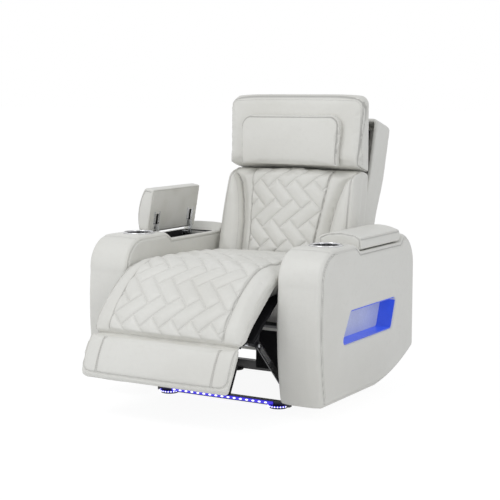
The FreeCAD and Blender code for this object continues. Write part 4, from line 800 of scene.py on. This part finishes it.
cushion = grid_solid("back_cover", back_half, BACK_LOW, BACK_HIGH, back_depth, lambda x, r: 0 * x + 0.048,
                     0.026, 0.006)
remeshed(cushion, voxel=0.0065)
relaxed(cushion, rounds=2)
spots = points_of(cushion)
away = np.abs(spots[:, 0])
free = np.clip((-spots[:, 1] - 0.02) / 0.03, 0, 1)
free = free * np.clip(np.abs(away - wing_line(spots[:, 2])) / 0.03, 0.1, 1)
stuffed(cushion, cap=0.008, free=free)
subdivided(cushion)
spots, rays = points_of(cushion), normals_of(cushion)
away = np.abs(spots[:, 0])
front_share = np.clip((-rays[:, 1] - 0.3) / 0.3, 0, 1) * (spots[:, 1] < -0.01)
panel = panel_line(spots[:, 2])
panel_gap = np.abs(away - panel)
wing_gap = np.where(spots[:, 2] < 0.385, np.abs(away - wing_line(spots[:, 2])), NO_SEAM)
rim_gap = np.where(spots[:, 2] > 0.05, np.abs(back_half(spots[:, 2]) - 0.018 - away), NO_SEAM)
seam = np.minimum(np.minimum(panel_gap, wing_gap), rim_gap)
stretch = TILE_DROP / 0.0785
lines = herringbone(spots[:, 0] + 0.049, (spots[:, 2] - 0.2035) * stretch)
lines = np.where(away < panel, lines, NO_SEAM)
tile = BACK_TILE_RISE * (1 - np.exp(-lines / 0.012)) * (away < panel)
groove = crease(panel_gap, 0.0035, 0.006) + crease(wing_gap, 0.0045, 0.005) + crease(rim_gap, 0.0025, 0.005)
spots = spots + rays * ((tile - groove) * front_share)[:, None]
mark(cushion, seam=np.where(front_share > 0.1, seam, NO_SEAM), quilt=np.where(front_share > 0.1, lines, NO_SEAM),
     tone=np.where(panel_gap < 0.01, 0.35, np.where(rim_gap < 0.01, 0.30, 0.60)))
set_points(cushion, placed(spots, BACK, BACK_TURN))
dress(cushion, "back", "upholstery", ivory, "back_cushion", fill=0.8)
heights = np.linspace(0.06, 0.39, 40)
rows = [[(x * side, -0.085, rise) for x, rise in zip(reach, heights)]
        for reach in (panel_line(heights) + STITCH_ASIDE, wing_line(heights) + 0.0045) for side in (-1, 1)]
sewn(cushion, "back", [placed(np.array(row), BACK, BACK_TURN) for row in rows])


# Headrest: a broad padded head section that tilts, with a raised pillow on its front.
# The section has a seam round its front and rear panels, and the pillow a sewn edge with rounded top
# corners.

HEAD = np.array((0.4748216, 0.791998))
HEAD_TURN = math.radians(2)

head = merged_copy("head_cover", "head_cushion")
remeshed(head, voxel=0.0060)
relaxed(head, rounds=3)
local = local_of(points_of(head), HEAD, HEAD_TURN)
free = np.clip((-local[:, 1] - 0.06) / 0.03, 0, 1) * np.clip((local[:, 2] - 0.03) / 0.03, 0, 1)
stuffed(head, cap=0.006, free=free)
subdivided(head)
rays = normals_of(head)
local = local_of(points_of(head), HEAD, HEAD_TURN)
head_edge = [(-0.278, 0.010), (-0.281, 0.268), (-0.276, 0.286), (-0.262, 0.297), (-0.240, 0.301),
             (0.240, 0.301), (0.262, 0.297), (0.276, 0.286), (0.281, 0.268), (0.278, 0.010)]
seam, _ = gap_to_runs(local[:, (0, 2)], head_edge)
either = np.clip((np.abs(rays[:, 1]) - 0.1) / 0.3, 0, 1)
spots = points_of(head) - rays * (crease(seam, 0.0030, 0.005) * either)[:, None]


def head_shaped(local, recede=0.020):
    """Wider towards the top, shoulders that drop, a lower edge that recedes and a top that rises behind."""
    local = local.copy()
    up = np.clip(local[:, 2] / 0.3, 0, 1)
    shoulder = np.clip((np.abs(local[:, 0]) - 0.15) / 0.14, 0, 1) ** 2
    behind = smooth((local[:, 1] + 0.10) / 0.10)
    local[:, 0] *= 1 + 0.050 * up
    local[:, 1] += recede * (1 - up) * (1 - behind)
    local[:, 1] += 0.022 * (1 - 0.7 * up) * behind * np.clip((np.abs(local[:, 0]) - 0.268) / 0.012, 0, 1)
    local[:, 2] += (0.016 * behind - 0.012 * shoulder * (1 - behind)) * smooth((local[:, 2] - 0.20) / 0.10)
    return local


set_points(head, placed(head_shaped(local_of(spots, HEAD, HEAD_TURN)), HEAD, HEAD_TURN))
mark(head, seam=np.where(either > 0.1, seam, NO_SEAM), tone=0.45)
dress(head, "headrest", "upholstery", ivory, "head_cushion", fill=0.8)
edge_row = np.array([(x * 0.985, -0.115, rise - 0.002) for x, rise in head_edge])
sewn(head, "headrest", [placed(head_shaped(edge_row), HEAD, HEAD_TURN)])

pillow = merged_copy("pillow_cover", "head_pillow")
remeshed(pillow, voxel=0.0046)
relaxed(pillow, rounds=4)
local = local_of(points_of(pillow), HEAD, HEAD_TURN)
stuffed(pillow, cap=0.006, free=np.clip((-local[:, 1] - 0.10) / 0.03, 0, 1))
subdivided(pillow)
spots, rays = points_of(pillow), normals_of(pillow)
local = local_of(spots, HEAD, HEAD_TURN)
pillow_edge = [(-0.211, 0.046), (-0.211, 0.188)]
pillow_edge += arc_points((-0.211, 0.188), (-0.172, 0.227), 0.039, -1, 6)
pillow_edge += arc_points((0.172, 0.227), (0.211, 0.188), 0.039, -1, 6) + [(0.211, 0.188), (0.211, 0.046)]
seam, _ = gap_to_runs(local[:, (0, 2)], pillow_edge)
front_share = np.clip((-rays[:, 1] - 0.1) / 0.3, 0, 1)
spots = spots - rays * (crease(seam, 0.0030, 0.004) * front_share)[:, None]
local = local_of(spots, HEAD, HEAD_TURN)
local[:, 1] += 0.018 * (1 - np.clip(local[:, 2] / 0.3, 0, 1))
local[:, 0] *= 1 - 0.03 * (1 - np.clip((local[:, 2] - 0.03) / 0.15, 0, 1))
set_points(pillow, placed(local, HEAD, HEAD_TURN))
mark(pillow, seam=np.where(front_share > 0.1, seam, NO_SEAM), tone=0.40)
dress(pillow, "headrest", "upholstery", ivory, "head_pillow", fill=0.9)
edge_row = np.array([(x * 0.982, -0.150 + 0.018 * (1 - rise / 0.3), rise - 0.0035) for x, rise in pillow_edge])
sewn(pillow, "headrest", [placed(edge_row, HEAD, HEAD_TURN)])


# Back shell and lower rear panel: board covered with the same leatherette.
# The shell wraps the back from behind, with a seam down each rear corner.

for name, body in (("back_shell", "back"), ("rear_skirt", "chair")):
    cover = merged_copy(f"{name}_cover", name)
    remeshed(cover, voxel=0.0046)
    relaxed(cover, rounds=3)
    spots, rays = points_of(cover), normals_of(cover)
    low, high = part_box(name)
    side_gap = np.abs(np.minimum(spots[:, 0] - low[0], high[0] - spots[:, 0]) - 0.014)
    seam = np.where(rays[:, 1] > 0.6, side_gap, NO_SEAM)
    spots = spots - rays * crease(seam, 0.0015, 0.004)[:, None]
    if body == "back":
        local = local_of(spots, BACK, BACK_TURN)
        local[:, 0] *= 1 + 0.045 * smooth((local[:, 2] - 0.25) / 0.2)
        local[:, 1] += 0.014 * smooth((local[:, 1] - 0.06) / 0.05)
        spots = placed(local, BACK, BACK_TURN)
    set_points(cover, spots)
    mark(cover, seam=seam)
    dress(cover, body, "outer_shell", ivory, name)


# Console lids: crowned pads on boards, hinged on their outer edge over the storage wells.
# A seam runs round each end panel and along the top of the outer side.

LID_TURNS = {"left": math.radians(-80), "right": 0.0}
LID_PIVOT, LID_LEVEL = 0.459, 0.596
for side_name, side in (("left", -1), ("right", 1)):
    lid = merged_copy(f"lid_cover_{side_name}", f"lid_pad_{side_name}")
    remeshed(lid, voxel=0.0034)
    relaxed(lid, rounds=9)
    spots, rays = points_of(lid), normals_of(lid)
    c, s = math.cos(LID_TURNS[side_name]), math.sin(LID_TURNS[side_name])
    x, z = spots[:, 0] - LID_PIVOT * side, spots[:, 2] - LID_LEVEL
    flat_x, flat_z = (x * c - z * s) * side, z * c + x * s
    end_loop = [(-0.137, -0.026), (-0.137, 0.000), (-0.110, 0.012), (-0.057, 0.018), (-0.004, 0.012),
                (0.014, 0.000), (0.016, -0.026)]
    ends, _ = gap_to_runs(np.stack((flat_x, flat_z), 1), end_loop)
    seam = np.where(np.abs(rays[:, 1]) > 0.5, ends, NO_SEAM)
    side_ray = (rays[:, 0] * c - rays[:, 2] * s) * side
    seam = np.where(side_ray > 0.45, np.minimum(seam, np.abs(flat_z - 0.001)), seam)
    set_points(lid, spots - rays * crease(seam, 0.0014, 0.004)[:, None])
    mark(lid, seam=seam, tone=0.40)
    dress(lid, f"console_lid_{side_name}", "upholstery", ivory, f"lid_pad_{side_name}", fill=0.9)


# Rigid pieces: painted, plated and bare metal, moulded plastic, board, webbing and rubber.
# Each finish has its own grain, wear and unevenness, read in the chair's own coordinates.


def finish(name, colour, shade, roughness, metallic=0.0, scale=40.0, grain=(600, 0.0002), stretch=None,
           coat=0.0, specular=0.5):
    """A rigid finish: two close colours, roughness that wanders, and a grain given as its scale and depth."""
    mat, tree, shader = node_material(name)
    where = object_place(tree)
    if stretch:
        shape = add_node(tree, "ShaderNodeMapping", Scale=stretch)
        tree.links.new(where, shape.inputs["Vector"])
        where = shape.outputs["Vector"]
    cloud = noise(tree, where, scale, 4)
    tree.links.new(blend_colour(tree, step_between(tree, cloud, 0.35, 0.7, 0, 1), colour, shade),
                   shader.inputs["Base Color"])
    tree.links.new(step_between(tree, cloud, 0.3, 0.7, roughness * 0.85, roughness * 1.15),
                   shader.inputs["Roughness"])
    tree.links.new(chain_bump(tree, noise(tree, where, grain[0], 3), grain[1], 0.5), shader.inputs["Normal"])
    shader.inputs["Metallic"].default_value = metallic
    shader.inputs["Specular IOR Level"].default_value = specular
    if coat:
        shader.inputs["Coat Weight"].default_value = coat
        shader.inputs["Coat Roughness"].default_value = 0.2
    return mat


black_enamel = finish("black enamel on steel", (0.012, 0.012, 0.014, 1), (0.022, 0.022, 0.025, 1),
                      roughness=0.34, grain=(260, 0.0005), coat=0.3)
zinc = finish("zinc plated steel", (0.62, 0.63, 0.65, 1), (0.50, 0.51, 0.54, 1), roughness=0.24, metallic=1.0,
              scale=30, grain=(300, 0.0002))
chrome = finish("chromed steel", (0.72, 0.72, 0.73, 1), (0.62, 0.62, 0.64, 1), roughness=0.12, metallic=1.0,
                scale=22, grain=(200, 0.0001))
ply = finish("plywood", (0.46, 0.33, 0.19, 1), (0.36, 0.25, 0.14, 1), roughness=0.62, scale=14,
             grain=(180, 0.0004), stretch=(1, 6, 30))
black_plastic = finish("black moulded plastic", (0.014, 0.014, 0.015, 1), (0.020, 0.020, 0.021, 1),
                       roughness=0.48, grain=(900, 0.0003))
alloy = finish("cast alloy and painted gearbox", (0.20, 0.20, 0.21, 1), (0.13, 0.13, 0.14, 1), roughness=0.42,
               metallic=0.6, scale=50, grain=(320, 0.0004))
web = finish("woven webbing", (0.30, 0.28, 0.25, 1), (0.21, 0.19, 0.17, 1), roughness=0.85, scale=220,
             grain=(700, 0.0010), stretch=(1, 1, 3), specular=0.15)
rubber = finish("black rubber", (0.010, 0.010, 0.011, 1), (0.018, 0.018, 0.018, 1), roughness=0.78, scale=70,
                grain=(500, 0.0005))
cambric = finish("black dust cloth", (0.010, 0.010, 0.011, 1), (0.017, 0.017, 0.018, 1), roughness=0.92,
                 scale=300, grain=(1100, 0.0006), specular=0.1)
lining = finish("ivory leatherette lining", (0.74, 0.73, 0.69, 1), (0.68, 0.67, 0.62, 1), roughness=0.5,
                scale=12, grain=(420, 0.0006), specular=0.35)
key_plastic = finish("satin grey keys", (0.16, 0.16, 0.17, 1), (0.11, 0.11, 0.12, 1), roughness=0.36, scale=90,
                     grain=(700, 0.0002))


def lit_plastic(name, base, light, strength, roughness):
    """Tinted plastic with light in it; the glow is mottled."""
    mat, tree, shader = node_material(name)
    where = object_place(tree)
    shader.inputs["Roughness"].default_value = roughness
    shader.inputs["Emission Strength"].default_value = strength
    for scale, colour, socket in ((9, light, "Emission Color"), (240, base, "Base Color")):
        dim = tuple(c * 0.82 for c in colour[:3]) + (1,)
        cloud = step_between(tree, noise(tree, where, scale, 3), 0.3, 0.7, 0, 1)
        tree.links.new(blend_colour(tree, cloud, colour, dim), shader.inputs[socket])
    tree.links.new(chain_bump(tree, noise(tree, where, 300), 0.0002, 0.4), shader.inputs["Normal"])
    return mat


window_blue = lit_plastic("blue lit housing", (0.02, 0.045, 0.36, 1), (0.04, 0.095, 0.66, 1), strength=0.66,
                          roughness=0.30)
window_pale = lit_plastic("pale diffuser", (0.34, 0.37, 0.50, 1), (0.30, 0.33, 0.50, 1), strength=0.52,
                          roughness=0.35)
strip_body = lit_plastic("clear strip over blue light", (0.02, 0.02, 0.30, 1), (0.06, 0.035, 0.80, 1), strength=0.9,
                         roughness=0.25)

FINISHES = {
    black_enamel: ("base_frame", "mechanism_plates", "back_brackets", "legrest_brackets", "swing_links",
                   "torque_tube", "carry_links", "back_frame", "back_fork", "head_brackets", "head_yoke",
                   "head_fork"),
    zinc: ("fold_hinge_upper", "fold_hinge_lower", "cross_rod"),
    chrome: ("lid_hinge_cups_left", "lid_hinge_cups_right"),
    ply: ("back_panel",),
    cambric: ("legrest_board", "foot_board"),
    lining: ("lid_board_left", "lid_board_right", "seat_frame"),
    black_plastic: ("storage_tray_left", "storage_tray_right", "control_panel", "power_supply"),
    alloy: ("leg_drive", "back_drive", "head_drive", "leg_nut", "back_nut", "head_nut"),
    web: ("seat_straps",),
    rubber: ("base_feet",),
    key_plastic: ("button_1", "button_2", "button_3", "button_4"),
    window_blue: ("window_housing_left", "window_housing_right"),
    window_pale: ("window_panels",),
    strip_body: ("led_strip",),
}


def painted(mat, names):
    for name in names:
        for slot in nodes[name].material_slots:
            slot.material = mat


for mat, names in FINISHES.items():
    painted(mat, names)


# Fasteners: low rivet heads on the pivots of the linkage, outside the links.
# One Geometry Nodes tree sets a head with sloping sides on each point, and each moving body has one mesh of them.


rivets, given, result = new_tree("rivet heads", {"Head Radius": 0.0085, "Head Height": 0.0035})
dome = add_node(rivets, "GeometryNodeMeshCone", Vertices=14)
top_radius = add_node(rivets, "ShaderNodeMath", {"operation": "MULTIPLY"})
top_radius.inputs[1].default_value = 0.6
rivets.links.new(given.outputs["Head Radius"], dome.inputs["Radius Bottom"])
rivets.links.new(given.outputs["Head Radius"], top_radius.inputs[0])
rivets.links.new(top_radius.outputs[0], dome.inputs["Radius Top"])
rivets.links.new(given.outputs["Head Height"], dome.inputs["Depth"])
set_on_points(rivets, given.outputs["Geometry"], dome.outputs["Mesh"], result, zinc)

base_pivot, board_pivot, swing_end = (-0.0800, 0.2740), (-0.3700, 0.2590), (-0.2200, 0.1090)
BASE_FACE, SWING_FACE, CARRY_FACE = 0.2880, 0.2770, 0.2695
RIVETS = {
    "swing_arms": [(BASE_FACE, *base_pivot), (SWING_FACE, *swing_end)],
    "carry_arms": [(CARRY_FACE, *board_pivot)],
}
for body, places in RIVETS.items():
    spots = [(x * side, y, z) for x, y, z in places for side in (-1, 1)]
    heads = points_mesh(f"rivets_{body}", spots, [(math.copysign(1, s[0]), 0, 0) for s in spots])
    dress(grown(heads, rivets, Head_Radius=0.0085, Head_Height=0.003), body, "bright_steel", zinc)


# Link faces: a zinc plated strip on the outer side of each carry link, between its two pins.
# It is cut from thin sheet; both strips are one mesh that goes with the links.

STRIP_START, STRIP_END, STRIP_HALF, STRIP_THICK = 0.018, 0.100, 0.008, 0.0012


def slab(name, corners, depth):
    """A closed flat plate from a loop of corners and the step to its other face."""
    count = len(corners)
    step = np.array(depth, float)
    spots = [tuple(c) for c in corners] + [tuple(np.array(c, float) + step) for c in corners]
    faces = [tuple(range(count)), tuple(range(count, 2 * count))]
    faces += [(k, (k + 1) % count, count + (k + 1) % count, count + k) for k in range(count)]
    mesh = bpy.data.meshes.new(name)
    mesh.from_pydata(spots, [], faces)
    return link_mesh(name, tidy_normals(mesh))


def joined(name, parts):
    """One mesh from several loose ones."""
    shell = bmesh.new()
    for part in parts:
        shell.from_mesh(part.data)
        bpy.data.objects.remove(part)
    mesh = bpy.data.meshes.new(name)
    shell.to_mesh(mesh)
    shell.free()
    return link_mesh(name, mesh)


def flat_faced(item):
    """Shade the item's faces flat, as sheet and board look."""
    item.data.polygons.foreach_set("use_smooth", np.zeros(len(item.data.polygons), bool))
    item.data.update()


link_way = np.array(swing_end) - np.array(board_pivot)
link_way = link_way / np.linalg.norm(link_way)
link_side = np.array((-link_way[1], link_way[0])) * STRIP_HALF
near, far = np.array(board_pivot) + link_way * STRIP_START, np.array(board_pivot) + link_way * STRIP_END
plates = []
for side in (-1, 1):
    loop = [(CARRY_FACE * side, *p) for p in (near - link_side, far - link_side, far + link_side, near + link_side)]
    plates.append(slab("plate", loop, (STRIP_THICK * side, 0, 0)))
face_plates = joined("link_face_plates", plates)
dress(face_plates, "carry_arms", "bright_steel", zinc)
flat_faced(face_plates)


# Seat box front: a short leatherette panel under each side of the seat's front rail.
# Behind it hangs a black dust cloth that hides the drives from the front.

RAIL_END, RAIL_TOP, PANEL_FOOT, CLOTH_FOOT = 0.258, 0.330, 0.246, 0.100
PANEL_FRONT, PANEL_THICK, CLOTH_FRONT, CLOTH_THICK = -0.050, 0.010, -0.036, 0.0015
panel_loop = [(RAIL_END, RAIL_TOP), (RAIL_END, PANEL_FOOT), (0.100, PANEL_FOOT), (0.086, 0.250), (0.077, 0.259),
              (0.074, 0.272), (0.074, RAIL_TOP)]
cloth_loop = [(RAIL_END, RAIL_TOP), (RAIL_END, CLOTH_FOOT), (0.060, CLOTH_FOOT), (0.060, RAIL_TOP)]
for side_name, side in (("left", -1), ("right", 1)):
    front = slab(f"knee_panel_{side_name}", [(x * side, PANEL_FRONT, z) for x, z in panel_loop],
                 (0, PANEL_THICK, 0))
    dress(front, "chair", "upholstery", lining)
    cloth = slab(f"dust_cloth_{side_name}", [(x * side, CLOTH_FRONT, z) for x, z in cloth_loop],
                 (0, CLOTH_THICK, 0))
    dress(cloth, "chair", "strap_web", cambric)
    flat_faced(front)
    flat_faced(cloth)


# Lid hinges: zinc plated goosenecks, with a fixing plate beside each edge of the neck and chromed screws.
# The necks stay with the arm and the plates and screws go with the lid.

screws, given, result = new_tree("screw heads", {"Head Radius": 0.003, "Head Height": 0.0012})
head_disc = add_node(screws, "GeometryNodeMeshCylinder", Vertices=10)
screws.links.new(given.outputs["Head Radius"], head_disc.inputs["Radius"])
screws.links.new(given.outputs["Head Height"], head_disc.inputs["Depth"])
set_on_points(screws, given.outputs["Geometry"], head_disc.outputs["Mesh"], result, chrome)
WELL_MIDDLE, HINGE_SPREAD, NECK_WIDENING = 0.1335, 0.115, 1.6
HINGE_LINES = (WELL_MIDDLE - HINGE_SPREAD, WELL_MIDDLE + HINGE_SPREAD)
PLATE_EDGES, PLATE_WIDTH, PLATE_ENDS, PLATE_THICK = (-0.0195, 0.0115), 0.008, (-0.060, -0.012), 0.0010
SCREW_PLACES = (-0.054, -0.036, -0.018)


def on_lid(side_name, side, flat_x, y, flat_z):
    """A place on the closed lid, measured from its pivot, in the pose that the lid has at rest."""
    c, s = math.cos(LID_TURNS[side_name]), math.sin(LID_TURNS[side_name])
    return (LID_PIVOT * side + flat_x * side * c + flat_z * s, y, LID_LEVEL - flat_x * side * s + flat_z * c)


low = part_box("lid_pad_right")[0][2] - LID_LEVEL
for side_name, side in (("left", -1), ("right", 1)):
    neck = merged_copy(f"hinge_arms_{side_name}", f"lid_hinge_necks_{side_name}")
    spots = points_of(neck)
    for line in HINGE_LINES:
        near = np.abs(spots[:, 1] - line) < 0.03
        spots[near, 1] = line + (spots[near, 1] - line) * NECK_WIDENING
    set_points(neck, spots)
    dress(neck, "chair", "bright_steel", zinc, f"lid_hinge_necks_{side_name}")
    flat_faced(neck)
    down = np.subtract(on_lid(side_name, side, 0, 0, low - PLATE_THICK), on_lid(side_name, side, 0, 0, low))
    wings, spots = [], []
    for line in HINGE_LINES:
        for edge in PLATE_EDGES:
            near, far = line + edge, line + edge + PLATE_WIDTH
            loop = zip(PLATE_ENDS + PLATE_ENDS[::-1], (near, near, far, far))
            wings.append(slab("wing", [on_lid(side_name, side, x, y, low) for x, y in loop], down))
            spots += [on_lid(side_name, side, x, (near + far) / 2, low - 0.0012) for x in SCREW_PLACES]
    wing = joined(f"hinge_plates_{side_name}", wings)
    dress(wing, f"console_lid_{side_name}", "bright_steel", zinc)
    flat_faced(wing)
    heads = points_mesh(f"hinge_screws_{side_name}", spots, [down] * len(spots))
    dress(grown(heads, screws, Head_Radius=0.0027, Head_Height=0.0010), f"console_lid_{side_name}",
          "bright_steel", chrome)


# Cup holders: steel cups with a rolled rim round each flange.
# They are bright outside, and painted dark in their depth as shade.

CUP_RIM, CUP_LEVEL, RIM_RADIUS = 0.0570, 0.5845, 0.0028


def ring_tube(name, path, radius, closed, sides=10):
    """A round tube along a path of 3D points."""
    path = np.array(path, float)
    count = len(path)
    ways = np.roll(path, -1, 0) - np.roll(path, 1, 0) if closed else np.gradient(path, axis=0)
    ways /= np.linalg.norm(ways, axis=1, keepdims=True)
    across = np.cross(ways, (0, 0, 1.0))
    across /= np.linalg.norm(across, axis=1, keepdims=True)
    upward = np.cross(across, ways)
    turns = np.linspace(0, 2 * math.pi, sides, endpoint=False)
    spots = np.vstack([path[k] + radius * (np.outer(np.cos(turns), across[k]) + np.outer(np.sin(turns), upward[k]))
                       for k in range(count)])
    rows = count if closed else count - 1
    faces = [(r * sides + k, r * sides + (k + 1) % sides, (r + 1) % count * sides + (k + 1) % sides,
              (r + 1) % count * sides + k) for r in range(rows) for k in range(sides)]
    if not closed:
        faces += [tuple(range(sides)), tuple(range((count - 1) * sides, count * sides))]
    mesh = bpy.data.meshes.new(name)
    mesh.from_pydata(spots.tolist(), [], faces)
    return link_mesh(name, tidy_normals(mesh))


turns = np.linspace(0, 2 * math.pi, 64, endpoint=False)
for side_name, side in (("left", -1), ("right", 1)):
    loop = [(CUP_LINE * side + CUP_RIM * math.cos(a), CUP_SETBACK + CUP_RIM * math.sin(a), CUP_LEVEL) for a in turns]
    dress(ring_tube(f"cup_rim_{side_name}", loop, RIM_RADIUS, True), "chair", "cup_steel", chrome)
cup_steel, tree, shader = node_material("steel cup, dark in its depth")
where = object_place(tree)
split = tree.nodes.new("ShaderNodeSeparateXYZ")
tree.links.new(where, split.inputs[0])
cloud = step_between(tree, noise(tree, where, 90, 3), 0.3, 0.7, 0, 1)
bright = blend_colour(tree, cloud, (0.72, 0.73, 0.75, 1), (0.60, 0.61, 0.63, 1))
# Painted shade: the steel turns near black below the rim's level, deep in the cup.
painted_depth_shade = step_between(tree, split.outputs["Z"], 0.570, 0.5815, 0, 1)
tree.links.new(blend_colour(tree, painted_depth_shade, (0.03, 0.032, 0.05, 1), bright), shader.inputs["Base Color"])
tree.links.new(step_between(tree, cloud, 0, 1, 0.16, 0.28), shader.inputs["Roughness"])
tree.links.new(chain_bump(tree, cloud, 0.0001, 0.4), shader.inputs["Normal"])
shader.inputs["Metallic"].default_value = 1.0
painted(cup_steel, ("cup_holder_left", "cup_holder_right"))


# Light strip: small white diodes on a clear blue strip along the front bar, with a loop round each front foot.
# The diodes sit in a row on the strip's face and show as bright dots.

CHIP_PITCH = 0.026
LOOP_RADIUS, LOOP_LEVEL, LOOP_THICK = 0.0350, 0.0085, 0.0028

diode_mat, tree, shader = node_material("white diode")
shader.inputs["Emission Strength"].default_value = 1.6
cloud = noise(tree, object_place(tree), 300)
tree.links.new(blend_colour(tree, step_between(tree, cloud, 0.3, 0.7, 0, 1), (0.72, 0.72, 1.0, 1),
                            (0.90, 0.90, 1.0, 1)), shader.inputs["Emission Color"])
tree.links.new(chain_bump(tree, cloud, 0.0002, 0.4), shader.inputs["Normal"])
tree.links.new(step_between(tree, cloud, 0.3, 0.7, 0.25, 0.4), shader.inputs["Roughness"])
diodes, given, result = new_tree("row of diodes", {"Chip Size": 0.003, "Chip Stretch": 1.0})
chip = add_node(diodes, "GeometryNodeMeshCylinder", Vertices=10, Depth=0.0012)
diodes.links.new(given.outputs["Chip Size"], chip.inputs["Radius"])
stretch = add_node(diodes, "ShaderNodeCombineXYZ", Y=1.0, Z=1.0)
diodes.links.new(given.outputs["Chip Stretch"], stretch.inputs["X"])
shaped = add_node(diodes, "GeometryNodeTransform")
diodes.links.new(chip.outputs["Mesh"], shaped.inputs["Geometry"])
diodes.links.new(stretch.outputs["Vector"], shaped.inputs["Scale"])
set_on_points(diodes, given.outputs["Geometry"], shaped.outputs["Geometry"], result, diode_mat)
low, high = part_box("led_strip")
middle = (low[2] + high[2]) / 2
spots = [(x, low[1] - 0.0003, middle) for x in np.arange(low[0] + 0.012, high[0] - 0.008, CHIP_PITCH)]
lamps = points_mesh("strip_diodes", spots, [(0, -1, 0)] * len(spots))
dress(grown(lamps, diodes, Chip_Size=0.0029, Chip_Stretch=2.1), "chair", "light_strip", diode_mat)
spots, rays = [], []
feet_low, feet_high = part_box("base_feet")
foot_line, foot_reach = feet_high[0] - 0.032, feet_low[1] + 0.032
bends = np.radians(np.arange(190, 351, 8))


def round_foot(side, radius, angles):
    """Places on an arc round the middle of a front foot."""
    return [(foot_line * side + radius * math.cos(a), foot_reach + radius * math.sin(a), LOOP_LEVEL) for a in angles]


for side_name, side in (("left", -1), ("right", 1)):
    end = ring_tube(f"strip_loop_{side_name}", round_foot(side, LOOP_RADIUS, bends), LOOP_THICK, False)
    dress(end, "chair", "light_strip", strip_body)
    spots += round_foot(side, LOOP_RADIUS + LOOP_THICK, bends[1::2])
    rays += [(math.cos(a), math.sin(a), 0) for a in bends[1::2]]
lamps = points_mesh("loop_diodes", spots, rays)
dress(grown(lamps, diodes, Chip_Size=0.0024, Chip_Stretch=1.0), "chair", "light_strip", diode_mat)
